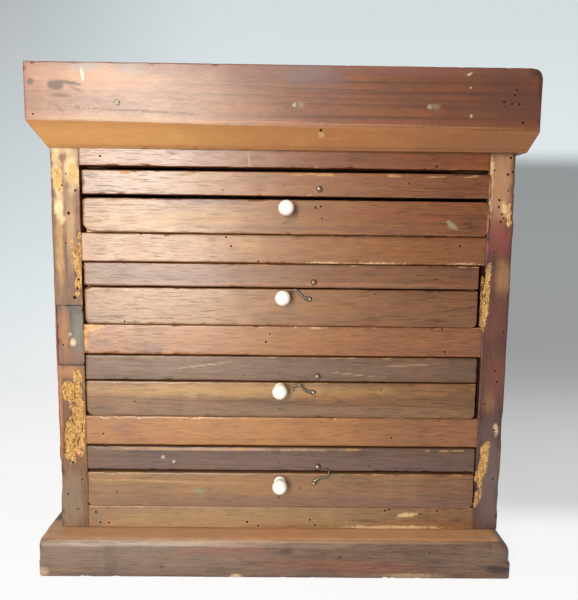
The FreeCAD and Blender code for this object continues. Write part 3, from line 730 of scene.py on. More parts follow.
@dataclass(frozen=True)
class PorcelainFinish:
    """White glaze with faint crackle, darkened round the foot by dust and painted shade."""

    name: str = "porcelain_glaze"

    def make(self) -> bpy.types.Material:
        """Builds the material.

        Returns:
            A glazed material on Object coordinates and the painted layer state.
        """
        bench = Bench(self.name)
        across, deep, up = bench.place()
        spot = bench.vector(across / 2.6, deep / 2.6, up / 2.6)
        cloud = bench.noise(spot.scaled(0.5), 2.0)
        crack = bench.node("ShaderNodeTexVoronoi", {"feature": "DISTANCE_TO_EDGE"},
                           {"Vector": spot, "Scale": 1.0}, "Distance")
        line = crack.step(0.0, 0.03, 1.0, 0.0)
        colour = bench.mix(cloud.step(0.35, 0.7), Tone(250, 248, 244), Tone(240, 235, 226))
        colour = bench.mix(line * 0.16, colour, Tone(150, 132, 108))
        state, _ = bench.painted("state")
        # dust and painted shade round the foot and on the neck
        dust = state.parts()[1]
        colour = bench.mix((dust + (cloud - 0.5) * 0.4).step(0.35, 1.0) * 0.85, colour,
                           Tone(112, 84, 60))
        return bench.solid(colour, 0.2 + cloud * 0.1 + dust * 0.3,
                           {"Coat Weight": 0.8 - dust * 0.7, "Coat Roughness": 0.05, "IOR": 1.5})


@dataclass(frozen=True)
class HoleFinish:
    """The inside of a worm hole, painted dark for the shade within it."""

    name: str = "worm_hole_inside"

    def make(self) -> bpy.types.Material:
        """Builds the material.

        Returns:
            A dark rough material on Object coordinates.
        """
        bench = Bench(self.name)
        across, deep, up = bench.place()
        fine = bench.noise(bench.vector(across / 0.5, deep / 0.5, up / 0.5), 3.0)
        colour = bench.mix(fine.step(0.4, 0.75), Tone(26, 15, 10), Tone(74, 46, 26))
        return bench.solid(colour, 0.9 - fine * 0.1, {})


class Finish(Enum):
    """Every finish on the cabinet."""

    TOP_RAIL = WoodFinish("top_rail_orange_pine", Tone(114, 61, 24), Tone(62, 27, 11),
                          Tone(91, 44, 17), heart=(-110, 500), ring_gap=5.0, seed=2.0)
    RAIL_2 = WoodFinish("second_rail_orange_pine", Tone(117, 66, 29), Tone(71, 34, 15),
                        Tone(97, 51, 22), heart=(-105, 400), ring_gap=4.6, seed=3.3)
    RAIL_3 = WoodFinish("third_rail_orange_pine", Tone(120, 69, 30), Tone(70, 34, 15),
                        Tone(97, 53, 23), heart=(-100, 330), ring_gap=6.0, seed=4.1)
    RAIL_4 = WoodFinish("fourth_rail_orange_pine", Tone(121, 73, 32), Tone(70, 37, 16),
                        Tone(97, 55, 25), heart=(-120, 40), ring_gap=5.5, seed=5.7)
    LOW_RAIL = WoodFinish("bottom_rail_brown_pine", Tone(124, 84, 50), Tone(73, 46, 27),
                          Tone(97, 65, 40), heart=(-110, -40), ring_gap=5.0, seed=6.2,
                          rough=0.46, varnish=0.4, scuffed=0.6)
    CASE_1 = WoodFinish("first_case_red_pine", Tone(111, 61, 26), Tone(62, 29, 13),
                        Tone(82, 40, 19), heart=(-100, 270), ring_gap=7.0, seed=7.9)
    CASE_2 = WoodFinish("second_case_red_pine", Tone(106, 61, 27), Tone(55, 29, 13),
                        Tone(80, 44, 20), heart=(-90, 210), ring_gap=5.2, tilt=-0.13, seed=8.4,
                        contrast=0.95)
    CASE_3 = WoodFinish("third_case_olive_pine", Tone(113, 74, 35), Tone(63, 37, 19),
                        Tone(83, 54, 29), heart=(-100, 260), ring_gap=6.5, seed=9.6,
                        varnish=0.45, scuffed=0.6)
    CASE_4 = WoodFinish("fourth_case_tan_pine", Tone(114, 75, 48), Tone(63, 39, 26),
                        Tone(85, 58, 43), heart=(-110, 0), ring_gap=7.0, seed=10.3,
                        varnish=0.4, scuffed=0.6)
    LID_1 = WoodFinish("first_lid_brown_pine", Tone(105, 58, 27), Tone(57, 29, 15),
                       Tone(80, 42, 22), heart=(-110, 470), ring_gap=5.5, seed=11.8,
                       varnish=0.95, scuffed=0.5)
    LID_2 = WoodFinish("second_lid_purple_pine", Tone(101, 58, 30), Tone(54, 29, 16),
                       Tone(74, 41, 23), heart=(-110, 370), ring_gap=5.0, seed=12.5,
                       varnish=0.55, scuffed=0.7)
    LID_3 = WoodFinish("third_lid_grey_pine", Tone(94, 59, 35), Tone(51, 31, 19),
                       Tone(70, 44, 27), heart=(-110, 290), ring_gap=4.6, seed=13.1,
                       rough=0.46, varnish=0.35, scuffed=0.8)
    LID_4 = WoodFinish("fourth_lid_grey_pine", Tone(90, 64, 48), Tone(50, 34, 26),
                       Tone(69, 48, 40), heart=(-110, 180), ring_gap=5.2, seed=14.6,
                       rough=0.48, varnish=0.25, scuffed=0.7)
    LEFT_SIDE = WoodFinish("left_side_eaten_pine", Tone(106, 69, 39), Tone(64, 39, 22),
                           Tone(83, 54, 32), grain=Grain.UPRIGHT, heart=(-300, -90),
                           ring_gap=4.0, seed=15.2, contrast=0.4, rough=0.55, varnish=0.1)
    RIGHT_SIDE = WoodFinish("right_side_eaten_pine", Tone(70, 38, 26), Tone(40, 19, 14),
                            Tone(48, 24, 18), grain=Grain.UPRIGHT, heart=(300, -80),
                            ring_gap=4.0, seed=16.4, contrast=0.4, rough=0.5, varnish=0.2)
    PATCH = WoodFinish("let_in_block_pine", Tone(52, 30, 12), Tone(31, 16, 7),
                       Tone(39, 24, 12), grain=Grain.UPRIGHT, heart=(-190, -120),
                       seed=17.7, contrast=0.5, rough=0.5, varnish=0.15)
    CORNICE = WoodFinish("cornice_red_brown_pine", Tone(117, 64, 28), Tone(57, 23, 10),
                         Tone(87, 44, 20), heart=(-110, 330), ring_gap=7.5, tilt=0.01,
                         contrast=0.9, seed=18.9, rough=0.46, varnish=0.75, blur=0.31, scuffed=0.3,
                         streaked=0.1)
    CORNICE_SIDE = WoodFinish("cornice_end_red_brown_pine", Tone(110, 61, 27),
                              Tone(60, 27, 12), Tone(83, 42, 20), grain=Grain.DEEP,
                              heart=(-110, 340), ring_gap=7.5, seed=19.3, rough=0.42)
    TOP = WoodFinish("top_board_brown_pine", Tone(115, 71, 35), Tone(67, 36, 18),
                     Tone(86, 53, 29), heart=(0, 380), ring_gap=8.0, seed=20.1, rough=0.55,
                     varnish=0.1)
    BASE = WoodFinish("base_plank_brown_pine", Tone(106, 79, 63), Tone(64, 44, 35),
                      Tone(81, 62, 51), heart=(-120, -70), ring_gap=6.0, seed=21.4, rough=0.46,
                      varnish=0.25, scuffed=0.5)
    BARE = WoodFinish("bare_sawn_pine", Tone(206, 168, 120), Tone(160, 116, 72),
                      Tone(172, 134, 96), heart=(30, -60), ring_gap=6.0, contrast=0.6, seed=22.6,
                      rough=0.72, varnish=0.0, scuffed=0.0)
    BARE_DEEP = WoodFinish("bare_sawn_pine_lengthwise", Tone(202, 164, 118), Tone(156, 112, 70),
                           Tone(168, 130, 94), grain=Grain.DEEP, heart=(30, -60), ring_gap=6.0,
                           contrast=0.6, seed=23.6, rough=0.72, varnish=0.0)
    BARE_UPRIGHT = WoodFinish("bare_sawn_pine_upright", Tone(176, 140, 102), Tone(132, 96, 64),
                              Tone(142, 112, 84), grain=Grain.UPRIGHT, heart=(30, 60),
                              ring_gap=7.0, contrast=0.6, seed=24.8, rough=0.75, varnish=0.0)
    DUST = WoodFinish("wood_dust_crumbs", Tone(222, 188, 126), Tone(176, 134, 80),
                      Tone(200, 158, 98), ring_gap=2.0, seed=25.5, rough=0.85, varnish=0.0)
    BRASS = MetalFinish("tarnished_brass", Tone(178, 158, 112), Tone(94, 82, 58), 0.7)
    BRIGHT_BRASS = MetalFinish("rubbed_brass", Tone(156, 146, 122), Tone(92, 82, 64), 0.5)
    HOOK_BRASS = MetalFinish("dark_brass_hook", Tone(108, 100, 86), Tone(58, 50, 42), 0.75)
    PIN_BRASS = MetalFinish("brown_brass_pin", Tone(138, 122, 104), Tone(78, 60, 50), 0.6)
    IRON = MetalFinish("rusty_nail_iron", Tone(138, 132, 112), Tone(70, 62, 48), 0.5, 0.5, 1.6, 0.5)
    PORCELAIN = PorcelainFinish()
    HOLE = HoleFinish()

    def material(self, plain: bool = False) -> bpy.types.Material:
        """The finish's material, made when it is first asked for.

        Args:
            plain: Whether the piece is a wooden one with no painted layers.

        Returns:
            The material.
        """
        wooden = isinstance(self.value, WoodFinish)
        name = f"{self.value.name}_plain" if plain and wooden else self.value.name
        found = bpy.data.materials.get(name)
        if found:
            return found
        return self.value.make(plain) if wooden else self.value.make()


# ---------------------------------------------------------------- marks on the surface

@dataclass(frozen=True)
class Mark:
    """A knot, stain, chip or scratch: a soft oval on a face, in millimetres of that face."""

    across: float
    up: float
    wide: float
    tall: float
    tone: Tone
    strength: float = 0.6
    turn: float = 0.0
    soft: float = 0.5
    ragged: float = 0.5

    def cover(self, flat: np.ndarray, places: np.ndarray, seed: int) -> np.ndarray:
        """How strongly the mark covers each point.

        Args:
            flat: The points' two places on the face.
            places: The points themselves, for the ragged outline.
            seed: Which ragged outline is taken.

        Returns:
            A share from 0 to 1 for each point.
        """
        turn = math.radians(self.turn)
        off = flat - (self.across, self.up)
        one = (off[:, 0] * math.cos(turn) + off[:, 1] * math.sin(turn)) / (self.wide / 2)
        two = (off[:, 1] * math.cos(turn) - off[:, 0] * math.sin(turn)) / (self.tall / 2)
        size = max(min(self.wide, self.tall) * 0.7, 1.2)
        far = np.sqrt(one ** 2 + two ** 2)
        near = far < 2.2
        far[near] += self.ragged * (roughness_of(places[near], size, seed) - 0.5) * 1.6
        return self.strength * (1 - ease(1 - self.soft, 1 + self.soft, far))


def glow(up: float, tone: Tone, strength: float, across: float = -60.0,
         wide: float = 330.0) -> Mark:
    """A broad golden patch of painted glare: the window's light and reflection painted on the left
    part of a board.
    """
    return Mark(across, up, wide, 60, tone, strength, 0, 0.9)


@dataclass(frozen=True)
class Hole:
    """A worm or nail hole in a front: its place and width in millimetres."""

    across: float
    up: float
    wide: float = 1.6
    deep: float = 4.0
    broken_rim: float = 1.25


# ---------------------------------------------------------------- Geometry Nodes jigs

class Jig:
    """A Geometry Nodes tree that repeats one small shape."""

    def __init__(self, name: str, inputs: dict[str, tuple[str, object]]) -> None:
        """Starts the tree.

        Args:
            name: The tree's name.
            inputs: Each input's name with its socket type and its first value.
        """
        self.tree = bpy.data.node_groups.new(name, "GeometryNodeTree")
        face = self.tree.interface
        face.new_socket("Geometry", in_out="INPUT", socket_type="NodeSocketGeometry")
        self.keys = {}
        for label, (kind, value) in inputs.items():
            socket = face.new_socket(label, in_out="INPUT", socket_type=kind)
            self.keys[label] = socket.identifier
            if value is not None:
                socket.default_value = value
        face.new_socket("Geometry", in_out="OUTPUT", socket_type="NodeSocketGeometry")
        self.entry = self.tree.nodes.new("NodeGroupInput")
        self.exit = self.tree.nodes.new("NodeGroupOutput")

    def given(self, label: str) -> bpy.types.NodeSocket:
        """The socket that brings one of the tree's inputs."""
        return self.entry.outputs[label]

    def node(self, kind: str, settings: dict | None = None,
             inputs: dict | None = None) -> bpy.types.Node:
        """Adds one node with its settings, values and links.

        Args:
            kind: The node's type.
            settings: Its properties.
            inputs: Values or sockets by the socket's name or number.

        Returns:
            The node.
        """
        made = self.tree.nodes.new(kind)
        for key, value in (settings or {}).items():
            setattr(made, key, value)
        for key, value in (inputs or {}).items():
            if isinstance(value, bpy.types.NodeSocket):
                self.tree.links.new(value, made.inputs[key])
            else:
                made.inputs[key].default_value = value
        return made

    def value(self, attribute: str, kind: str = "FLOAT") -> bpy.types.NodeSocket:
        """A named attribute of the points."""
        return self.node("GeometryNodeInputNamedAttribute", {"data_type": kind},
                         {"Name": attribute}).outputs["Attribute"]

    def end(self, geometry: bpy.types.NodeSocket, finish: bpy.types.NodeSocket,
            chosen: bpy.types.NodeSocket | None = None) -> None:
        """Ends the tree in Realize Instances and Set Material.

        Args:
            geometry: What the tree has made.
            finish: The material's socket.
            chosen: Which faces get the material, or all of them.
        """
        real = self.node("GeometryNodeRealizeInstances", {}, {"Geometry": geometry})
        inputs = {"Geometry": real.outputs[0], "Material": finish}
        if chosen is not None:
            inputs["Selection"] = chosen
        dressed = self.node("GeometryNodeSetMaterial", {}, inputs)
        self.tree.links.new(dressed.outputs[0], self.exit.inputs[0])

    def work(self, made: bpy.types.Object, values: dict[str, object]) -> None:
        """Runs the tree on an object and keeps the result as its plain mesh.

        Args:
            made: The object.
            values: What each input is set to, by its name.
        """
        modifier = made.modifiers.new(self.tree.name, "NODES")
        modifier.node_group = self.tree
        for label, value in values.items():
            modifier[self.keys[label]] = value
        keep_result(made, modifier)


def spots(name: str, rows: list[tuple[Vector, Vector, float, float]]) -> bpy.types.Object:
    """Points for a jig, each with the way it faces, a width and a depth.

    Args:
        name: The object's name.
        rows: Place, facing, width and depth of each point, in metres.

    Returns:
        An object with these points and the attributes facing, wide and deep.
    """
    mesh = bpy.data.meshes.new(name)
    mesh.from_pydata([row[0] for row in rows], [], [])
    facing = mesh.attributes.new("facing", "FLOAT_VECTOR", "POINT")
    facing.data.foreach_set("vector", np.array([row[1] for row in rows], float).ravel())
    for label, column in (("wide", 2), ("deep", 3)):
        layer = mesh.attributes.new(label, "FLOAT", "POINT")
        layer.data.foreach_set("value", np.array([row[column] for row in rows], float))
    return add_object(name, mesh)


def pegs_at(jig: Jig, points: bpy.types.NodeSocket, peg: bpy.types.NodeSocket,
            long_as_deep: bool) -> bpy.types.NodeSocket:
    """Stands one small shape, made 1 m wide and deep, at every point, turned as it faces.

    Args:
        jig: The tree.
        points: The points, with the attributes facing, wide and deep.
        peg: The small shape.
        long_as_deep: Whether deep is its length, or wide is.

    Returns:
        All the small shapes, not yet realized.
    """
    wide = jig.value("wide")
    deep = jig.value("deep") if long_as_deep else wide
    size = jig.node("ShaderNodeCombineXYZ", {}, {0: wide, 1: wide, 2: deep}).outputs[0]
    turn = jig.node("FunctionNodeAlignRotationToVector", {"axis": "Z"},
                    {"Vector": jig.value("facing", "FLOAT_VECTOR")}).outputs[0]
    stood = jig.node("GeometryNodeInstanceOnPoints", {},
                     {"Points": points, "Instance": peg, "Rotation": turn, "Scale": size})
    return stood.outputs[0]


@cache
def boring_jig() -> Jig:
    """The jig that bores worm holes into a board.

    Returns:
        A tree that takes the points of another object, stands a bit at each and cuts them out.
    """
    jig = Jig("worm_holes", {"Spots": ("NodeSocketObject", None),
                             "Sides": ("NodeSocketInt", 9),
                             "Inside": ("NodeSocketMaterial", None)})
    points = jig.node("GeometryNodeObjectInfo", {}, {"Object": jig.given("Spots")})
    bit = jig.node("GeometryNodeMeshCylinder", {},
                   {"Vertices": jig.given("Sides"), "Radius": 0.5, "Depth": 2.0})
    stood = pegs_at(jig, points.outputs["Geometry"], bit.outputs["Mesh"], True)
    real = jig.node("GeometryNodeRealizeInstances", {}, {"Geometry": stood})
    marked = jig.node("GeometryNodeStoreNamedAttribute",
                      {"data_type": "FLOAT", "domain": "FACE"},
                      {"Geometry": real.outputs[0], "Name": "bored", "Value": 1.0})
    cut = jig.node("GeometryNodeMeshBoolean", {"operation": "DIFFERENCE", "solver": "EXACT"})
    jig.tree.links.new(jig.given("Geometry"), cut.inputs["Mesh 1"])
    jig.tree.links.new(marked.outputs[0], cut.inputs["Mesh 2"])
    jig.end(cut.outputs[0], jig.given("Inside"), jig.value("bored"))
    return jig


def nail_jig() -> Jig:
    """The jig that sets hammered nail heads on points.

    Returns:
        A tree that works on an object of points.
    """
    jig = Jig("nail_heads", {"Sides": ("NodeSocketInt", 14),
                             "Taper": ("NodeSocketFloat", 0.82),
                             "Iron": ("NodeSocketMaterial", None)})
    head = jig.node("GeometryNodeMeshCone", {},
                    {"Vertices": jig.given("Sides"), "Radius Top": jig.given("Taper"),
                     "Radius Bottom": 1.0, "Depth": 0.14})
    half = jig.node("GeometryNodeTransform", {}, {"Geometry": head.outputs["Mesh"],
                                                  "Scale": (0.5, 0.5, 1.0)})
    stood = pegs_at(jig, jig.given("Geometry"), half.outputs[0], False)
    jig.end(stood, jig.given("Iron"))
    return jig


@cache
def crumb_jig() -> Jig:
    """The jig that leaves crumbs of wood dust on eaten places.

    Returns:
        A tree that works on a mesh with the attribute eaten.
    """
    jig = Jig("frass_crumbs", {"Thick": ("NodeSocketFloat", 60000.0),
                               "Seed": ("NodeSocketInt", 7),
                               "Least": ("NodeSocketFloat", 0.0002),
                               "Most": ("NodeSocketFloat", 0.0007),
                               "Dust": ("NodeSocketMaterial", None)})
    eaten = jig.node("ShaderNodeMath", {"operation": "MULTIPLY"},
                     {0: jig.value("eaten"), 1: jig.given("Thick")})
    strewn = jig.node("GeometryNodeDistributePointsOnFaces", {"distribute_method": "RANDOM"},
                      {"Mesh": jig.given("Geometry"), "Density": eaten.outputs[0],
                       "Seed": jig.given("Seed")})
    size = jig.node("FunctionNodeRandomValue", {"data_type": "FLOAT"},
                    {"Seed": jig.given("Seed")})
    jig.tree.links.new(jig.given("Least"), size.inputs[2])
    jig.tree.links.new(jig.given("Most"), size.inputs[3])
    crumb = jig.node("GeometryNodeMeshIcoSphere", {}, {"Radius": 1.0, "Subdivisions": 1})
    stood = jig.node("GeometryNodeInstanceOnPoints", {},
                     {"Points": strewn.outputs["Points"], "Instance": crumb.outputs["Mesh"],
                      "Rotation": strewn.outputs["Rotation"], "Scale": size.outputs[1]})
    jig.end(stood.outputs[0], jig.given("Dust"))
    return jig


# ---------------------------------------------------------------- wooden boards

class Face(Enum):
    """The face of a board that carries its marks: its outward axis and side."""

    FRONT = (1, -1)
    LEFT = (0, -1)
    RIGHT = (0, 1)
    TOP = (2, 1)
    BACK = (1, 1)


@dataclass(frozen=True)
class Corner:
    """A corner of a board that is worn round or broken off, seen from the front."""

    right: bool
    high: bool
    wide: float
    tall: float
    ragged: float = 0.2
    deep: float = 1000.0


@dataclass(frozen=True)
class Eaten:
    """A place where worms have eaten the wood away under its skin."""

    patch: Mark
    deep: float = 2.0


@dataclass
class Board:
    """One wooden board that stands where a piece of the frame stands."""

    name: str
    body: str
    finish: Finish
    slot: str
    low: np.ndarray
    high: np.ndarray
    nodes: tuple[str, ...] = ()
    cell: tuple[float, float, float] = (1.3, 7.0, 1.3)  # the widest faces along X, Y and Z
    fine: float = 0.45  # the narrowest faces, at the edges
    edge: float = 1.1  # how far the edges are rounded
    chips: float = 1.6  # how much more where they are broken
    wave: float = 0.22  # how uneven the faces are
    wear: float = 0.9
    # how strong the dust and the painted shade near the edges are
    grime: float = 0.5
    face: Face = Face.FRONT
    reach: float = 5.0  # how far behind the face its marks go on
    marks: tuple[Mark, ...] = ()
    eaten: tuple[Eaten, ...] = ()
    holes: tuple[Hole, ...] = ()
    corners: tuple[Corner, ...] = ()
    seed: int = 0

    @classmethod
    def over(cls, node: str, **facts: object) -> "Board":
        """A board with the box of a piece of the frame, which it stands in for.

        Args:
            node: The piece of the frame.
            facts: The board's other fields.

        Returns:
            The board.
        """
        low, high = box_of(node)
        return cls(name=f"{node}_board", low=low, high=high, nodes=(node,), **facts)

    def blank(self) -> Shell:
        """The divided block from which the board is shaped."""
        lines = [graded(self.low[axis], self.high[axis], self.fine, self.cell[axis])
                 for axis in range(3)]
        return Shell.slab(*lines)

    def rounds(self, points: np.ndarray) -> tuple[np.ndarray, np.ndarray]:
        """How far each point's edges are rounded, next to the low and the high sides.

        Args:
            points: The block's points.

        Returns:
            Two sets of three roundings for each point.
        """
        uneven = roughness_of(points, 22.0, self.seed + 3)
        broken = ease(0.6, 0.78, roughness_of(points, 9.0, self.seed + 5))
        round_by = self.edge * (0.55 + 0.9 * uneven) + self.chips * broken
        every = np.repeat(round_by[:, None], 3, axis=1)
        return every, every

    def shape(self, shell: Shell) -> None:
        """Rounds the edges, wears the corners and makes the faces a little uneven."""
        low_round, high_round = self.rounds(shell.points)
        blank = shell.points.copy()
        shell.soften(self.low, self.high, low_round, high_round)
        near_low = blank - self.low < 1e-6
        near_high = self.high - blank < 1e-6
        outward = near_high.astype(float) - near_low.astype(float)
        outward /= np.maximum(np.linalg.norm(outward, axis=1, keepdims=True), 1e-9)
        dip = roughness_of(blank, 34.0, self.seed + 11) - 1.0
        dip = dip * self.wave
        for place in self.eaten:
            cover = place.patch.cover(self.flat(blank), blank, self.seed)
            cover *= self.on_face(blank, 3.0)
            tunnels = ease(0.5, 0.68, roughness_of(blank, (2.2, 2.6, 8.0), self.seed + 17))
            dip -= cover * (0.25 + tunnels) * place.deep
        shell.points += outward * dip[:, None]
        for corner in self.corners:
            self.wear_corner(shell, corner)

    def wear_corner(self, shell: Shell, corner: Corner) -> None:
        """Takes one corner off, seen from the front.

        Args:
            shell: The board's skin.
            corner: Which corner, and how much of it goes.
        """
        reach = np.array([corner.wide, corner.tall])
        side = np.array([1.0 if corner.right else -1.0, 1.0 if corner.high else -1.0])
        tip = np.array([self.high[0] if corner.right else self.low[0],
                        self.high[2] if corner.high else self.low[2]])
        flat = shell.points[:, (0, 2)]
        way = (flat - (tip - side * reach)) * side / reach
        inside = (way > 0).all(axis=1)
        far = np.maximum(np.linalg.norm(way, axis=1), 1e-9)
        pull = way.max(axis=1) / far
        uneven = 1 - corner.ragged * roughness_of(shell.points, 3.5, self.seed + 23)
        near = 1 - ease(corner.deep * 0.6, corner.deep, shell.points[:, 1] - self.low[1])
        pull = 1 - (1 - np.minimum(pull * uneven, 1.0)) * near
        moved = tip - side * reach + side * reach * way * pull[:, None]
        flat[inside] = moved[inside]
        shell.points[:, 0] = flat[:, 0]
        shell.points[:, 2] = flat[:, 1]

    def flat(self, points: np.ndarray) -> np.ndarray:
        """The two places of each point on the marked face."""
        axis = self.face.value[0]
        return np.delete(points, axis, axis=1)

    def on_face(self, points: np.ndarray, skin: float) -> np.ndarray:
        """1 for points that lie on the marked face or just behind it, 0 for all others.

        Args:
            points: The points.
            skin: How far behind the face still counts.

        Returns:
            One number for each point.
        """
        axis, side = self.face.value
        off = points[:, axis] - self.low[axis] if side < 0 else self.high[axis] - points[:, axis]
        return (off < skin).astype(float)

    def layers(self, points: np.ndarray) -> Layers:
        """What is painted on the board: colour marks, its wear, dust with painted shade near its
        edges, frass dust in eaten places, and painted shade in the tunnels.

        Args:
            points: The finished mesh's points in millimetres.

        Returns:
            The layers tint and state, four values for each point.
        """
        tint = np.zeros((len(points), 4))
        state = np.zeros((len(points), 4))
        flat = self.flat(points)
        shown = self.on_face(points, self.reach)
        for number, mark in enumerate(self.marks):
            cover = mark.cover(flat, points, self.seed + number) * shown
            tone = np.array([*mark.tone.linear(), 1.0])
            tint = tint * (1 - cover[:, None]) + tone * cover[:, None]
        gap = edge_gap(points, self.low, self.high)
        uneven = roughness_of(points, (30.0, 8.0, 8.0), self.seed + 41)
        spotty = ease(0.46, 0.72, roughness_of(points, (16.0, 5.0, 5.0), self.seed + 47))
        state[:, 0] = (1 - ease(0.1, 0.8 + 1.6 * uneven, gap)) * spotty * self.wear
        # dust in patches, with painted shade within 9 mm of every edge, where boards meet
        dust = roughness_of(points, 14.0, self.seed + 43)
        state[:, 1] = ease(0.62, 0.85, dust) * self.grime * (1 - ease(1.0, 9.0, gap))
        for place in self.eaten:
            cover = place.patch.cover(flat, points, self.seed) * self.on_face(points, 12.0)
            tunnels = ease(0.58, 0.72, roughness_of(points, (2.2, 2.6, 8.0), self.seed + 17))
            state[:, 2] = np.maximum(state[:, 2], cover)
            # the alpha holds where the tunnels lie, painted as shade
            state[:, 3] = np.maximum(state[:, 3], cover * tunnels)
        return tint, state

    def bore(self, made: bpy.types.Object) -> None:
        """Bores the worm holes into the board's object."""
        axis, side = self.face.value
        rows = []
        facing = Vector((0, 0, 0))
        facing[axis] = side
        for hole in self.holes:
            place = [hole.across, hole.up]
            place.insert(axis, self.low[axis] if side < 0 else self.high[axis])
            wide = hole.wide * hole.broken_rim
            rows.append((Vector(place) * MM, facing, wide * MM, hole.deep * MM))
        bits = spots(f"{self.name}_bits", rows)
        inside = Finish.HOLE.material()
        boring_jig().work(made, {"Spots": bits, "Sides": 9, "Inside": inside})
        bpy.data.objects.remove(bits)

    def carve(self, made: bpy.types.Object) -> None:
        """What else is cut out of the board's object: nothing on a plain board."""

    def make(self) -> bpy.types.Object:
        """Builds the board and hands it to the frame.

        Returns:
            The board's object.
        """
        shell = self.blank()
        self.shape(shell)
        made = shell.to_mesh(self.name)
        made.data.materials.append(self.finish.material())
        self.carve(made)
        if self.holes:
            self.bore(made)
        paint(made, self.layers)
        hand_over(made, self.body, self.nodes)
        return made


def paint(made: bpy.types.Object, layers: Callable[[np.ndarray], Layers]) -> None:
    """Paints the layers tint and state on a mesh, and smooths its faces.

    Args:
        made: The object.
        layers: A function from points in millimetres to the two layers.
    """
    mesh = made.data
    points = np.empty(len(mesh.vertices) * 3)
    mesh.vertices.foreach_get("co", points)
    for name, values in zip(("tint", "state"), layers(points.reshape(-1, 3) / MM)):
        layer = mesh.color_attributes.new(name, "FLOAT_COLOR", "POINT")
        layer.data.foreach_set("color", np.clip(values, 0, 1).ravel())
    mesh.polygons.foreach_set("use_smooth", np.ones(len(mesh.polygons), bool))
    mesh.set_sharp_from_angle(angle=math.radians(55))
    mesh.update()


def plain_layers(points: np.ndarray) -> Layers:
    """Empty layers, for pieces with nothing painted on them."""
    return np.zeros((len(points), 4)), np.zeros((len(points), 4))


def hand_over(made: bpy.types.Object, body: str, nodes: tuple[str, ...]) -> None:
    """Ties a finished piece to its body and what it stands in for.

    Args:
        made: The piece.
        body: The body that it rides on.
        nodes: The pieces of the frame that it replaces, if any.
    """
    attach(made, body)
    if nodes:
        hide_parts(*nodes)
    log.info("%s: %d faces on %s", made.name, len(made.data.polygons), body)


def put_up(shell: Shell, name: str, finish: Finish, body: str, node: str,
           layers: Callable[[np.ndarray], Layers] = plain_layers) -> None:
    """Makes a skin an object that stands in for one piece of the frame.

    Args:
        shell: The skin.
        name: The object's name.
        finish: Its finish.
        body: The body that it rides on.
        node: The piece of the frame.
        layers: What is painted on it.
    """
    made = shell.to_mesh(name)
    made.data.materials.append(finish.material())
    paint(made, layers)
    hand_over(made, body, (node,))


def dress(node: str, finish: Finish) -> None:
    """Gives a piece of the frame its finish.

    Args:
        node: The piece.
        finish: The finish.
    """
    piece = frame["nodes"][node]
    for slot in piece.material_slots:
        slot.material = finish.material(plain=True)
    log.info("%s: dressed in %s", node, finish.value.name)


def cut_block(made: bpy.types.Object, low: tuple[float, ...], high: tuple[float, ...]) -> None:
    """Cuts a block out of a piece.

    Args:
        made: The piece.
        low: The block's lowest corner in millimetres.
        high: Its highest corner.
    """
    tool = Shell.slab(*[np.array([one, two], float) for one, two in zip(low, high)])
    cutter = tool.to_mesh("block_cutter")
    step = made.modifiers.new("cut", "BOOLEAN")
    step.operation = "DIFFERENCE"
    step.solver = "EXACT"
    step.object = cutter
    keep_result(made, step)
    bpy.data.objects.remove(cutter)


# ---------------------------------------------------------------- the carcass

KNOT = Tone(58, 34, 24)
SMOKE = Tone(96, 84, 88)
BLUE_GREY = Tone(118, 122, 128)
PALE_CHIP = Tone(222, 196, 150)
DUST_YELLOW = Tone(206, 150, 62)
OCHRE = Tone(176, 140, 86)
PURPLE = Tone(92, 66, 68)
SOOT = Tone(40, 28, 24)
RED_BROWN = Tone(128, 58, 34)
GREY_BROWN = Tone(112, 94, 80)
PALE_END_LINE = Tone(196, 150, 108)
SCRATCH = Tone(178, 152, 124)
STREAK = Tone(102, 54, 38)
PAINT_FLECK = Tone(210, 196, 180)


@dataclass
class BasePlank(Board):
    """The plank under the cabinet, with a large round at its right end."""

    reach: float = 40.0
    front_round: float = 8.0
    right_round: float = 14.0
    small_round: float = 3.0
    edge_room: float = 22.0

    def rounds(self, points: np.ndarray) -> tuple[np.ndarray, np.ndarray]:
        """The front and right rounds above, small ones elsewhere."""
        uneven = 0.85 + 0.3 * roughness_of(points, 26.0, self.seed)
        chipped = 2.4 * ease(0.62, 0.75, roughness_of(points, 8.0, self.seed + 2))
        top = points[:, 2] > self.high[2] - self.edge_room
        front = points[:, 1] < self.low[1] + self.edge_room
        right = points[:, 0] > self.high[0] - self.edge_room
        low_round = np.full(points.shape, self.small_round) * uneven[:, None]
        high_round = low_round.copy()
        low_round[:, 1] = np.where(top, self.front_round * uneven, self.small_round + chipped)
        low_round[:, 2] += np.where(front, chipped, 0)
        high_round[:, 0] = np.where(top, self.right_round, self.small_round)
        high_round[:, 2] = np.where(front, self.front_round * uneven, self.small_round)
        high_round[:, 2] = np.where(right, self.right_round, high_round[:, 2])
        return low_round, high_round


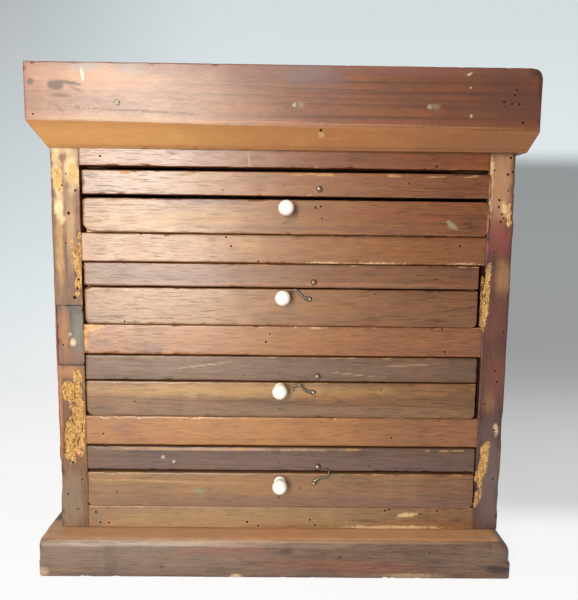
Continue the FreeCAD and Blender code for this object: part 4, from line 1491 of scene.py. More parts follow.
@dataclass
class EatenSide(Board):
    """An upright side board, its outer front edge gnawed by worms and wear."""

    bites: tuple[tuple[float, float, float], ...] = ()
    outer_low: bool = True
    seat: tuple[tuple[float, ...], tuple[float, ...]] | None = None

    def blank(self) -> Shell:
        """A block with close lines near its front only."""
        across = graded(self.low[0], self.high[0], self.fine, 1.3)
        front = self.low[1] + np.array([0, 0.4, 0.9, 1.6, 2.5, 3.6, 4.9, 6.4, 8.2, 10.4, 13])
        rest = graded(self.low[1] + 17, self.high[1], 1.0, 7.0)
        up = graded(self.low[2], self.high[2], 0.6, 1.45)
        return Shell.slab(across, np.concatenate([front, rest]), up)

    def rounds(self, points: np.ndarray) -> tuple[np.ndarray, np.ndarray]:
        """Ragged rounds on the outer front edge, deep where it is bitten away."""
        uneven = roughness_of(points, (9.0, 9.0, 16.0), self.seed + 3)
        small = self.edge * (0.5 + uneven)
        every = np.repeat(small[:, None], 3, axis=1)
        low_round, high_round = every.copy(), every.copy()
        gone = np.zeros(len(points))
        for up, tall, deep in self.bites:
            near = 1 - ease(0.55, 1.1, np.abs(points[:, 2] - up) / (tall / 2))
            gone = np.maximum(gone, near * deep)
        ragged = 0.35 + 1.1 * roughness_of(points, (6.0, 6.0, 7.0), self.seed + 9)
        front = points[:, 1] < self.low[1] + 14
        outer = low_round if self.outer_low else high_round
        half = (self.low[0] + self.high[0]) / 2
        outside = points[:, 0] < half if self.outer_low else points[:, 0] > half
        outer[:, 0] += np.where(front, gone * ragged, 0)
        low_round[:, 1] += np.where(outside, gone * ragged, 0)
        return low_round, high_round

    def carve(self, made: bpy.types.Object) -> None:
        """Cuts the seat of the let-in block."""
        if self.seat:
            cut_block(made, *self.seat)


@dataclass
class Carcass:
    """Base, sides, rails, back and top, all fixed to each other."""

    body: str = "carcass"
    rail_reach: float = 200.8
    nail_wide: float = 5.6
    nail_deep: float = 1.0
    nail_up: float = 466.5
    nails_across: tuple[float, ...] = (-157.5, 8.5, 135.0)
    nails_from_middle: float = 100.0
    patch_nail: tuple[float, float, float] = (-213.25, -160.0, 244.0)
    back_gap: float = 0.06

    def base(self) -> BasePlank:
        """The base plank.

        Returns:
            The board.
        """
        marks = (
            Mark(-171, 22, 14, 34, SOOT, 0.55, 2, 0.35),
            Mark(5, 29, 13, 8, SOOT, 0.75, 4),
            Mark(219, 11, 28, 9, SOOT, 0.9, -6, 0.35),
            Mark(-225, 22, 46, 46, GREY_BROWN, 0.5, 0, 0.9),
            Mark(-60, 30, 90, 10, RED_BROWN, 0.35, 2, 0.7),
            Mark(60, 14, 150, 12, RED_BROWN, 0.3, -2, 0.8),
            Mark(205, 30, 50, 20, GREY_BROWN, 0.45, 0, 0.7),
            # painted light: the top face painted pale where light from above falls, and painted
            # highlights along the front top edge
            Mark(0, 41, 1200, 4, Tone(196, 146, 106), 0.9, 0, 0.3, 0.2),
            Mark(-110, 38, 240, 2.4, Tone(200, 168, 140), 0.55, 0, 0.6),
            Mark(90, 38, 190, 2.0, Tone(186, 150, 118), 0.4, 0, 0.6),
            Mark(-140, 24, 230, 34, Tone(132, 118, 108), 0.35, 0, 0.9),
            Mark(-46, 2, 12, 5, PALE_CHIP),
            Mark(130, 4, 60, 5, PALE_CHIP, 0.25),
            Mark(-240, 6, 12, 10, Tone(182, 160, 140), 0.5),
        )
        return BasePlank.over("base", body=self.body, finish=Finish.BASE, slot="base_wood",
                              cell=(2.0, 6.0, 1.6), fine=0.6, marks=marks, wave=0.5, seed=101,
                              grime=0.8, holes=(Hole(60, 24, 1.3), Hole(-120, 12, 1.5),
                                                Hole(150, 28, 1.4)))

    def left_side(self) -> EatenSide:
        """The left side, yellow with dust below the let-in block.

        Returns:
            The board.
        """
        cream, brown = PALE_CHIP, Tone(150, 96, 64)
        marks = (
            Mark(-221, 395, 8, 56, cream, 0.7, 4, 0.6, 1.0),
            Mark(-207, 405, 13, 32, cream, 0.65, 0, 0.6, 1.0),
            Mark(-220, 366, 9, 22, cream, 0.75, 8, 0.5, 1.0),
            Mark(-221, 330, 7, 70, Tone(192, 150, 84), 0.5, 0, 0.8),
            Mark(-210, 350, 9, 60, Tone(196, 160, 116), 0.4, 0, 0.8),
            Mark(-217, 424, 26, 6, cream, 0.4, 0, 0.8),
            Mark(-215.5, 318, 2.6, 46, KNOT, 0.75, 1, 0.5, 1.4),
            Mark(-215.5, 400, 1.6, 60, brown, 0.45, 0, 0.6, 1.2),
            Mark(-225.6, 180, 4, 110, brown, 0.7, 0, 0.5, 0.8),
            Mark(-218, 66, 30, 64, GREY_BROWN, 0.85, 0, 0.5, 0.6),
            Mark(-214, 205, 24, 12, Tone(160, 110, 76), 0.6, 0, 0.6),
            Mark(-209, 125, 10, 12, Tone(176, 112, 76), 0.7, 0, 0.6),
            Mark(-212, 168, 12, 12, Tone(88, 44, 36), 0.75, 20, 0.5, 1.0),
        )
        eaten = (
            Eaten(Mark(-221, 398, 8, 40, DUST_YELLOW, 0.45, 4, 0.6, 1.4), 1.2),
            Eaten(Mark(-207, 404, 10, 26, DUST_YELLOW, 0.4, 0, 0.6, 1.4), 1.0),
            Eaten(Mark(-203.5, 312, 5, 56, DUST_YELLOW, 0.9, -3, 0.5, 1.0), 2.4),
            Eaten(Mark(-207, 318, 4, 34, DUST_YELLOW, 0.5, 8, 0.5, 1.4), 2.0),
            Eaten(Mark(-216, 185, 12, 30, DUST_YELLOW, 0.95, 0, 0.3, 0.9), 2.4),
            Eaten(Mark(-207, 158, 9, 88, DUST_YELLOW, 0.95, 1, 0.3, 0.9), 2.6),
            Eaten(Mark(-215, 136, 14, 46, DUST_YELLOW, 0.9, 0, 0.3, 0.9), 2.4),
        )
        holes = (Hole(-217, 391), Hole(-204.5, 386, 1.8), Hole(-211.5, 364, 2.4),
                 Hole(-208, 281, 2.6), Hole(-205, 290, 2.0), Hole(-204, 299, 2.2),
                 Hole(-215, 335, 1.3), Hole(-215, 110, 1.8), Hole(-206, 92, 1.4),
                 Hole(-221, 76), Hole(-211, 60, 1.5), Hole(-213, 402, 1.4))
        seat = ((-226.6, -161.0, 211.9), (-199.0, -148.0, 273.5))
        return EatenSide.over("side_left", body=self.body, finish=Finish.LEFT_SIDE,
                              slot="side_wood", marks=marks, eaten=eaten, holes=holes, seat=seat,
                              bites=((395, 60, 2.2), (185, 50, 2.0), (140, 36, 2.0),
                                     (95, 44, 4.4), (318, 40, 1.0)),
                              outer_low=True, seed=131, edge=1.0, wave=0.4, grime=0.8)

    def right_side(self) -> EatenSide:
        """The right side, with a ragged outer edge above and yellow strips within.

        Returns:
            The board.
        """
        dark = Tone(70, 40, 32)
        marks = (
            Mark(211, 392, 26, 74, Tone(172, 128, 98), 0.75, 0, 0.6, 0.4),
            Mark(213, 342, 26, 34, Tone(118, 60, 56), 0.75, 0, 0.6, 0.6),
            Mark(218, 305, 18, 40, Tone(146, 108, 72), 0.7, 0, 0.6, 0.6),
            Mark(213, 262, 24, 44, Tone(104, 56, 46), 0.6, 0, 0.8),
            Mark(216, 200, 24, 70, Tone(112, 64, 52), 0.55, 0, 0.8),
            Mark(211, 178, 10, 24, Tone(128, 96, 66), 0.5, 0, 0.7),
            Mark(216, 95, 26, 120, Tone(92, 76, 72), 0.85),
            Mark(227, 345, 3.4, 150, dark, 0.8, 0, 0.6, 1.2),
            Mark(227, 170, 3.0, 180, dark, 0.6, 0, 0.6, 1.2),
            Mark(217, 372, 5, 14, PALE_CHIP, 0.7, 10, 0.4, 1.2),
            Mark(219.5, 149, 3.4, 12, PALE_CHIP, 0.6, 8, 0.5, 1.2),
            Mark(202, 400, 3, 50, PALE_CHIP, 0.5, 0, 0.6, 1.4),
        )
        eaten = (
            Eaten(Mark(202.6, 286, 5.5, 66, DUST_YELLOW, 0.95, -2, 0.3, 0.7), 2.2),
            Eaten(Mark(207, 108, 9, 46, DUST_YELLOW, 0.8, -8, 0.4, 1.0), 2.2),
            Eaten(Mark(205, 80, 6, 30, DUST_YELLOW, 0.6, -8, 0.5, 1.2), 1.8),
            Eaten(Mark(221, 366, 6, 22, DUST_YELLOW, 0.5, 0, 0.5, 1.2), 2.0),
        )
        holes = (Hole(219.8, 422.4, 2.0), Hole(217.7, 406.6, 2.2), Hole(204.3, 410.3),
                 Hole(223, 409.1, 2.0), Hole(219, 391, 1.4), Hole(210.7, 381.9, 1.9),
                 Hole(210.6, 375.1, 1.8), Hole(213.3, 360.5, 2.0), Hole(218, 148),
                 Hole(216, 210, 1.7), Hole(218, 199, 1.8), Hole(208, 330, 1.3),
                 Hole(222, 250, 1.5), Hole(206, 176, 1.4), Hole(219, 96),
                 Hole(214, 368, 1.5), Hole(216, 364, 1.3))
        return EatenSide.over("side_right", body=self.body, finish=Finish.RIGHT_SIDE,
                              slot="side_wood", marks=marks, eaten=eaten, holes=holes,
                              bites=((405, 62, 4.6), (372, 26, 3.4), (330, 40, 1.6),
                                     (150, 34, 2.0), (80, 46, 2.6)),
                              outer_low=False, seed=171, edge=1.4, wave=0.9, chips=3.0,
                              grime=0.9)

    def patch(self) -> Board:
        """The block let into the left side.

        Returns:
            The board.
        """
        marks = (Mark(-206, 243, 12, 42, Tone(92, 92, 88), 0.8, 0, 0.7, 0.6),
                 Mark(-219, 246, 9, 50, Tone(158, 104, 52), 0.6, 0, 0.7),
                 Mark(-225, 243, 4, 60, Tone(128, 76, 58), 0.6, 0, 0.6),
                 Mark(-213, 222, 22, 16, Tone(130, 82, 58), 0.5, 0, 0.8),
                 Mark(-211, 236, 5, 6, Tone(222, 200, 160), 0.6, 0, 0.5, 1.0))
        return Board.over("side_patch", body=self.body, finish=Finish.PATCH, slot="patch_wood",
                          marks=marks, cell=(1.2, 3.0, 1.2), edge=0.9, seed=191,
                          holes=(Hole(-221, 233, 1.3),))

    def rail(self, node: str, finish: Finish, marks: tuple[Mark, ...],
             holes: tuple[Hole, ...], seed: int) -> Board:
        """One rail between the sides.

        Args:
            node: The rail of the frame.
            finish: Its finish.
            marks: What is seen on it.
            holes: Its worm holes.
            seed: Which unevenness it has.

        Returns:
            The rail's board.
        """
        board = Board.over(node, body=self.body, finish=finish, slot="rail_wood", marks=marks,
                           holes=holes, seed=seed, edge=1.3, chips=1.8)
        board.low[0], board.high[0] = -self.rail_reach, self.rail_reach
        return board

    def rails(self) -> list[Board]:
        """The top rail and the four below it.

        Returns:
            The boards, from the top.
        """
        top = self.rail("rail_top", Finish.TOP_RAIL, (
            Mark(-35, 417, 2.0, 16, Tone(206, 170, 134), 0.3, 6, 0.5, 0.8),
            Mark(120, 414, 120, 5, Tone(122, 66, 38), 0.35, 0, 0.8),
            Mark(-150, 412, 70, 3, Tone(120, 72, 44), 0.4, 0, 0.8),
        ), (Hole(-179.4, 419.2, 1.7), Hole(147.9, 413.4, 1.8)), 201)
        second = self.rail("rail_2", Finish.RAIL_2, (
            # painted glare of the window on the left of the rail
            glow(333, Tone(146, 102, 52), 0.4),
            Mark(-149, 331, 18, 27, Tone(138, 96, 68), 0.4, 3, 0.25, 0.3),
            Mark(-34, 337, 28, 18, Tone(196, 152, 92), 0.16, 0, 0.4, 0.2),
            Mark(81, 330, 8, 14, Tone(110, 62, 38), 0.55, 20, 0.7),
            Mark(40, 318.2, 34, 1.6, PALE_CHIP, 0.6, 0, 0.4, 1.3),
            Mark(93, 318.2, 46, 1.4, PALE_CHIP, 0.55, 0, 0.4, 1.3),
            Mark(178, 318.4, 24, 1.6, PALE_CHIP, 0.5, 0, 0.4, 1.3),
        ), (Hole(-141, 345), Hole(-57.6, 342.6), Hole(-52.7, 333.8, 1.7),
            Hole(-25.5, 318.9), Hole(173.9, 336.5, 1.7)), 211)
        third = self.rail("rail_3", Finish.RAIL_3, (
            # painted glare of the window on the left of the rail
            glow(241, Tone(146, 98, 50), 0.5),
            Mark(-181, 235.3, 17, 8, PURPLE, 0.5, 5, 0.6),
            Mark(-132, 230.5, 24, 12, PURPLE, 0.6, -4, 0.6),
            Mark(-155, 229, 11, 1.8, SOOT, 0.6, -8),
            Mark(-193, 251, 16, 5, DUST_YELLOW, 0.6, 0, 0.5, 1.0),
            Mark(-199, 241, 5, 20, DUST_YELLOW, 0.5, 0, 0.5, 1.0),
            Mark(33, 252.9, 13, 1.5, PALE_CHIP, 0.4, 0, 0.5, 1.0),
            Mark(60, 230, 110, 4, Tone(122, 70, 44), 0.4, -1, 0.8),
        ), (Hole(-17.4, 238, 1.8), Hole(159.4, 253), Hole(163.5, 229.6, 1.7),
            Hole(-13.5, 246.2, 1.2)), 221)
        fourth = self.rail("rail_4", Finish.RAIL_4, (
            # painted glare of the window on the left of the rail
            glow(147, Tone(182, 130, 74), 0.4),
            Mark(-164, 146, 18, 12, PURPLE, 0.35, 0, 0.8),
            Mark(-60, 136, 160, 2.4, Tone(118, 68, 40), 0.5, 0.4, 0.8),
            Mark(80, 151, 180, 2.4, Tone(118, 68, 40), 0.45, -0.5, 0.8),
            Mark(190, 150, 24, 26, Tone(128, 82, 60), 0.4, 0, 0.9),
        ), (Hole(-183, 141, 1.5), Hole(112, 139, 1.5), Hole(40, 155, 1.3)), 231)
        bottom = self.rail("rail_bottom", Finish.LOW_RAIL, (
            # painted glare of the window on the left of the rail
            glow(52, Tone(158, 134, 98), 0.45),
            Mark(88, 49, 30, 1.6, SOOT, 0.7, -4, 0.5, 1.2),
            Mark(132, 56, 18, 4, PALE_CHIP, 0.55, 6, 0.5, 1.0),
            Mark(116, 42, 90, 4, PALE_CHIP, 0.45, 0, 0.5, 1.3),
            Mark(-150, 60, 90, 8, Tone(120, 96, 78), 0.45, 0, 0.9),
            Mark(-192, 50, 16, 16, GREY_BROWN, 0.5, 0, 0.8),
            Mark(20, 43, 120, 3, Tone(110, 72, 50), 0.5, 0, 0.6),
        ), (Hole(-192.7, 56.8, 1.8), Hole(-188.4, 45.5, 1.7), Hole(-179.5, 45.4, 1.7),
            Hole(-35.9, 47, 1.9), Hole(-24.3, 43), Hole(29.9, 49.7, 1.7),
            Hole(35.2, 44.3), Hole(107.9, 60.5, 1.7), Hole(112, 61.6),
            Hole(144.7, 57.2, 1.8), Hole(162.4, 60.6, 1.7)), 241)
        return [top, second, third, fourth, bottom]

    def back(self) -> list[Board]:
        """Three upright boards behind, with narrow gaps between them.

        Returns:
            The boards, from the left.
        """
        low, high = box_of("back_boards")
        wide = (high[0] - low[0]) / 3
        boards = []
        for number in range(3):
            left = low[0] + number * wide + (self.back_gap / 2 if number else 0)
            right = low[0] + (number + 1) * wide - (self.back_gap / 2 if number < 2 else 0)
            marks = (Mark(left + 40, 140 + 90 * number, 16, 22, KNOT, 0.75, 0, 0.35),
                     Mark(left + 40, 140 + 90 * number, 30, 60, Tone(150, 108, 74), 0.45, 0, 0.7),
                     Mark(left + 98, 400 - 70 * number, 10, 13, KNOT, 0.7, 10, 0.35),
                     Mark((left + right) / 2, 52, 150, 34, GREY_BROWN, 0.5, 0, 0.9),
                     Mark((left + right) / 2, 470, 150, 30, GREY_BROWN, 0.35, 0, 0.9))
            boards.append(Board(f"back_board_{number + 1}", self.body, Finish.BARE_UPRIGHT,
                                "inner_wood", np.array([left, low[1], low[2]]),
                                np.array([right, high[1], high[2]]), (),
                                cell=(3.5, 4.0, 3.5), fine=0.6, edge=0.8, wear=0.4, wave=0.4,
                                face=Face.BACK, marks=marks, seed=251 + number,
                                holes=(Hole(left + 60, 300, 1.8), Hole(left + 77, 246),
                                       Hole(left + 22, 410, 1.7))))
        boards[0].nodes = ("back_boards",)
        return boards

    def top(self) -> Board:
        """The board that closes the top.

        Returns:
            The board.
        """
        marks = (Mark(-90, 40, 40, 14, KNOT, 0.6, 8), Mark(120, -60, 26, 12, KNOT, 0.6, -4),
                 Mark(0, 0, 460, 330, GREY_BROWN, 0.3, 0, 0.9),
                 Mark(-30, -90, 90, 70, Tone(84, 66, 56), 0.35, 20),
                 Mark(150, 80, 60, 60, Tone(176, 150, 122), 0.3, 0, 0.6))
        board = Board.over("top_panel", body=self.body, finish=Finish.TOP, slot="cornice_wood",
                           cell=(3.2, 3.2, 4.0), fine=0.6, edge=0.9, wave=0.5, face=Face.TOP,
                           marks=marks, seed=261, grime=1.0,
                           holes=(Hole(-140, 70, 1.8), Hole(60, 20), Hole(66, -34, 1.7),
                                  Hole(180, -110, 1.8), Hole(-190, -60)))
        return board

    def nails(self) -> None:
        """Hammered heads on the cornice and on the let-in block."""
        front, side = Vector((0, -1, 0)), Vector((1, 0, 0))
        low, high = box_of("nails")
        places = [((across, low[1], self.nail_up), front) for across in self.nails_across]
        for deep in (-self.nails_from_middle, self.nails_from_middle):
            places.append(((low[0], deep, self.nail_up), -side))
            places.append(((high[0], deep, self.nail_up), side))
        places.append((self.patch_nail, front))
        size = (self.nail_wide * MM, self.nail_deep * MM)
        made = spots("nail_heads", [(Vector(at) * MM, facing, *size) for at, facing in places])
        nail_jig().work(made, {"Sides": 14, "Taper": 0.8, "Iron": Finish.IRON.material()})
        paint(made, plain_layers)
        hand_over(made, self.body, ("nails",))

    def crumbs(self, left: bpy.types.Object, right: bpy.types.Object) -> None:
        """Crumbs of dust in the eaten places of both sides.

        Args:
            left: The left side board.
            right: The right side board.
        """
        for made, label in ((left, "left"), (right, "right")):
            state = made.data.color_attributes["state"]
            values = np.empty(len(state.data) * 4)
            state.data.foreach_get("color", values)
            copy = made.copy()
            copy.data = made.data.copy()
            copy.name = f"dust_crumbs_{label}"
            copy.parent = None
            bpy.context.scene.collection.objects.link(copy)
            layer = copy.data.attributes.new("eaten", "FLOAT", "POINT")
            eaten = ease(0.35, 0.9, values.reshape(-1, 4)[:, 2])
            layer.data.foreach_set("value", eaten)
            crumb_jig().work(copy, {"Thick": 900000.0, "Seed": 5, "Least": 0.25 * MM,
                                    "Most": 0.7 * MM, "Dust": Finish.DUST.material()})
            hand_over(copy, self.body, ())

    def build(self) -> None:
        """Builds every fixed board."""
        self.base().make()
        left = self.left_side().make()
        right = self.right_side().make()
        for board in [self.patch(), *self.rails(), *self.back(), self.top()]:
            board.make()
        self.crumbs(left, right)
        self.nails()
        dress("runners", Finish.BARE_DEEP)
        dress("kickers", Finish.BARE_DEEP)


# ---------------------------------------------------------------- the cornice

@dataclass
class CorniceFront(Board):
    """The wide front board of the cornice, its lower edge planed to a bevel."""

    rise: tuple[float, float] = (23.5, 18.0)
    reach: float = 22.0
    flat_low: tuple[float, float] = (0.6, 6.86)
    right_thick: float = 14.0
    mitre_long: float = 40.0

    def shape(self, shell: Shell) -> None:
        """Shapes the plain board, then planes the bevel and cuts the mitres."""
        super().shape(shell)
        points = shell.points
        thick = self.high[1] - self.low[1]
        along = (points[:, 0] - self.low[0]) / (self.high[0] - self.low[0])
        rise = self.rise[0] + (self.rise[1] - self.rise[0]) * along
        flat_low = self.flat_low[0] + (self.flat_low[1] - self.flat_low[0]) * along
        wander = (roughness_of(points * (1, 0, 0), (70.0, 9.0, 9.0), 5) - 0.5) * 2.4
        down = np.clip(1 - (points[:, 2] - self.low[2]) / (rise + wander), 0, 1)
        share = (self.high[1] - points[:, 1]) / thick
        points[:, 1] = self.high[1] - share * (thick - down * (thick - flat_low))
        inward = points[:, 1] - self.low[1]
        left_end = 1 - ease(0, self.mitre_long, points[:, 0] - self.low[0])
        right_end = 1 - ease(0, self.mitre_long, self.high[0] - points[:, 0])
        points[:, 0] += inward * left_end
        points[:, 0] -= inward * right_end * self.right_thick / thick


@dataclass
class CorniceEnd(Board):
    """A side board of the cornice, bevelled as the front one is at its end."""

    reach: float = 22.0
    rise: float = 23.5
    flat_low: float = 0.6
    mitre_long: float = 40.0
    front_thick: float = 16.0
    left: bool = True

    def shape(self, shell: Shell) -> None:
        """Shapes the plain board, then planes the bevel and cuts the mitre."""
        super().shape(shell)
        points = shell.points
        thick = self.high[0] - self.low[0]
        down = np.clip(1 - (points[:, 2] - self.low[2]) / self.rise, 0, 1)
        room = thick - down * (thick - self.flat_low)
        if self.left:
            share = (self.high[0] - points[:, 0]) / thick
            points[:, 0] = self.high[0] - share * room
            inward = points[:, 0] - self.low[0]
        else:
            share = (points[:, 0] - self.low[0]) / thick
            points[:, 0] = self.low[0] + share * room
            inward = self.high[0] - points[:, 0]
        near = 1 - ease(0, self.mitre_long, points[:, 1] - self.low[1])
        points[:, 1] += inward * near * self.front_thick / thick


@dataclass
class Cornice:
    """Three mitred boards round the top."""

    body: str = "carcass"

    def front(self) -> CorniceFront:
        """The front board with its knots, scratches, smudges and worm holes.

        Returns:
            The board.
        """
        growth, fleck = Tone(66, 30, 20), Tone(206, 184, 160)
        burnt, rust = Tone(52, 30, 22), Tone(138, 128, 108)
        marks = (
            Mark(60, 500, 300, 10, Tone(148, 82, 56), 0.35, 0, 0.8),
            Mark(-180, 488, 110, 20, Tone(206, 150, 112), 0.3, 0, 0.9),
            Mark(130, 478, 210, 2.0, growth, 0.75, 0.5, 0.7),
            Mark(100, 488, 260, 1.8, growth, 0.7, 0.4, 0.7),
            Mark(110, 467, 230, 2.2, growth, 0.7, -0.3, 0.7),
            Mark(90, 456, 260, 2.4, growth, 0.75, 0.2, 0.7),
            Mark(170, 474, 170, 60, Tone(84, 46, 36), 0.45, 0, 0.9),
            Mark(212, 477, 70, 60, Tone(66, 42, 36), 0.55, 0, 0.9),
            Mark(60, 499, 360, 9, Tone(88, 62, 64), 0.5, 0, 0.8),
            Mark(20, 494, 44, 20, SMOKE, 0.62, -8, 0.8, 0.9),
            Mark(42, 485, 26, 22, PURPLE, 0.4, 20, 0.9, 0.9),
            Mark(-186, 499, 30, 8, BLUE_GREY, 0.6, 3, 0.7, 0.9),
            Mark(-145, 497, 20, 14, BLUE_GREY, 0.45, 10, 0.8, 0.9),
            Mark(-214, 481, 15, 8, KNOT, 1.0, -6, 0.3, 0.4),
            Mark(-203, 484, 26, 3.2, KNOT, 0.95, -8, 0.4),
            Mark(-195, 478, 14, 2.2, KNOT, 0.8, -22),
            Mark(-210, 472.5, 17, 4, Tone(86, 48, 32), 0.95, -4, 0.4),
            Mark(-237.4, 484.6, 6, 5.5, KNOT, 0.9, 0, 0.3, 0.3),
            Mark(-189.3, 492, 2.0, 11, Tone(236, 222, 204), 0.75, 8, 0.4, 0.7),
            Mark(-211, 460, 13, 2, Tone(82, 46, 32), 0.85, -40, 0.4),
            Mark(-195, 461.9, 5, 3, KNOT, 0.8, 0, 0.4),
            Mark(-140, 459.2, 108, 1.5, Tone(70, 38, 26), 0.95, -2.2, 0.4, 1.6),
            Mark(-96, 470, 70, 1.3, Tone(100, 56, 38), 0.6, -3, 0.5, 1.4),
            Mark(171, 496.6, 4, 1.5, fleck, 0.7, 12, 0.4, 1.0),
            Mark(172.3, 484, 1.6, 1.6, fleck, 0.75, 0, 0.4, 0.8),
            Mark(174, 458.6, 1.8, 3, fleck, 0.7, 20, 0.4, 0.8),
            Mark(234, 498, 18, 7, burnt, 0.75, -20, 0.5, 1.3),
            Mark(239, 484, 5, 26, burnt, 0.75, 0, 0.5, 0.8),
            Mark(12, 466.5, 10, 5, rust, 0.4),
            Mark(140, 466.5, 10, 5, rust, 0.4),
            Mark(33.5, 440.6, 5, 5, PALE_CHIP, 0.7, 0, 0.4, 0.8),
            # the bevel's golden band: its own colour, brightened as painted light because the bevel
            # faces down; the pale patch at the left is painted window light
            Mark(0, 435, 1500, 26, Tone(150, 100, 50), 0.7, -0.5, 0.2, 0.1),
            Mark(-170, 437, 260, 26, Tone(200, 156, 92), 0.4, -0.7, 0.7, 0.4),
            Mark(200, 435, 150, 26, Tone(104, 62, 36), 0.6, -0.7, 0.8, 0.4),
            Mark(0, 450.0, 470, 1.4, Tone(196, 142, 96), 0.3, -0.65, 0.5, 0.9),
            Mark(120, 429, 220, 2.4, Tone(84, 50, 34), 0.5, 0, 0.6),
            Mark(-120, 428.5, 220, 2.0, Tone(110, 70, 46), 0.5, 0, 0.6),
            Mark(60, 434, 50, 2, Tone(130, 82, 52), 0.5, 1, 0.6),
        )
        holes = (Hole(33.2, 444, 2.2), Hole(216.4, 482.8, 1.7), Hole(214.4, 478.3),
                 Hole(204.8, 471.8, 1.8), Hole(212, 470.1), Hole(219.1, 469.7, 1.8),
                 Hole(223.5, 453.0, 1.9), Hole(-236, 455, 1.5))
        return CorniceFront.over("cornice_front", body=self.body, finish=Finish.CORNICE,
                                 slot="cornice_wood", marks=marks, holes=holes,
                                 cell=(1.35, 3.0, 1.3), edge=1.2, chips=1.8, wave=0.12, seed=301,
                                 corners=(Corner(True, True, 9, 8, 0.1),))

    def end(self, left: bool) -> CorniceEnd:
        """One of the side boards.

        Args:
            left: Whether it is the left one.

        Returns:
            The board.
        """
        node = "cornice_left" if left else "cornice_right"
        face = Face.LEFT if left else Face.RIGHT
        marks = (Mark(-60, 470, 30, 12, KNOT, 0.7, 6, 0.4),
                 Mark(90, 484, 80, 14, SMOKE, 0.4, -4, 0.8),
                 Mark(20, 452, 160, 3, Tone(96, 56, 38), 0.4, 1, 0.7),
                 Mark(0, 436, 330, 14, Tone(196, 148, 98), 0.25, 0, 0.7),
                 Mark(120, 462, 14, 5, PALE_CHIP, 0.5, 20, 0.5, 1.2))
        holes = (Hole(-120, 488, 1.7), Hole(-112, 476), Hole(40, 462),
                 Hole(132, 492, 1.7))
        return CorniceEnd.over(node, body=self.body, finish=Finish.CORNICE_SIDE,
                               slot="cornice_wood", marks=marks, holes=holes, face=face,
                               cell=(2.5, 2.0, 1.5), edge=1.2, chips=2.2, wave=0.35,
                               seed=331 if left else 351, left=left,
                               corners=() if left else (Corner(True, True, 9, 8, 0.1, 20),),
                               rise=23.5 if left else 18.0, flat_low=0.6 if left else 6.0)

    def build(self) -> None:
        """Builds the three boards."""
        for board in (self.front(), self.end(True), self.end(False)):
            board.make()


# ---------------------------------------------------------------- the cases

@dataclass
class LidFrame(Board):
    """The front slat and the three narrow ones of a lid, made closed and then opened."""

    pivot: tuple[float, float, float] = (0.0, 0.0, 0.0)
    axis: tuple[float, float, float] = (-1.0, 0.0, 0.0)
    open_by: float = 0.0
    front_thick: float = 12.0
    slat_thick: float = 8.0
    panel_thick: float = 6.0

    @classmethod
    def closed(cls, tier: int, **facts: object) -> "LidFrame":
        """The frame of one lid, with the box that it has when it is shut.

        Args:
            tier: Which lid, 1 at the top.
            facts: The board's other fields.

        Returns:
            The frame.
        """
        node = frame["nodes"][f"lid_{tier}_frame"]
        joint = joint_of(f"lid_{tier}_hinge")
        pivot = Vector(joint["pos_m"])
        shut = Quaternion(Vector(joint["axis"]), math.radians(joint["range_deg"][0]))
        points = np.array([shut @ (corner.co - pivot) + pivot for corner in node.data.vertices])
        return cls(name=f"lid_{tier}_frame_slats", body=f"lid_{tier}",
                   low=points.min(axis=0) / MM, high=points.max(axis=0) / MM,
                   nodes=(f"lid_{tier}_frame",), pivot=tuple(pivot), axis=tuple(joint["axis"]),
                   open_by=-math.radians(joint["range_deg"][0]), **facts)

    def blank(self) -> Shell:
        """The front slat alone, which is what is shaped."""
        self.back_edge = self.high[1]
        self.high = self.high.copy()
        self.high[1] = self.low[1] + self.front_thick
        return super().blank()

    def shape(self, shell: Shell) -> None:
        """Shapes the front slat, adds the other three and opens the lid."""
        super().shape(shell)
        low, high = self.low, self.high
        top = high[2] - self.panel_thick
        slats = ((low[0], low[0] + self.slat_thick, high[1], self.back_edge),
                 (high[0] - self.slat_thick, high[0], high[1], self.back_edge),
                 (low[0] + self.slat_thick, high[0] - self.slat_thick,
                  self.back_edge - self.slat_thick, self.back_edge))
        parts = []
        for left, right, near, far in slats:
            ends = (np.array([left, near, low[2]]), np.array([right, far, top]))
            lines = [graded(one, two, 0.4, 9.0) for one, two in zip(*ends)]
            part = Shell.slab(*lines)
            part.soften(*ends, np.full(part.points.shape, 0.5), np.full(part.points.shape, 0.5))
            parts.append(part)
        whole = shell.with_others(*parts)
        turn = Matrix.Rotation(self.open_by, 3, Vector(self.axis))
        pivot = np.array(self.pivot) / MM
        shell.points = (whole.points - pivot) @ np.array(turn).T + pivot
        shell.faces = whole.faces


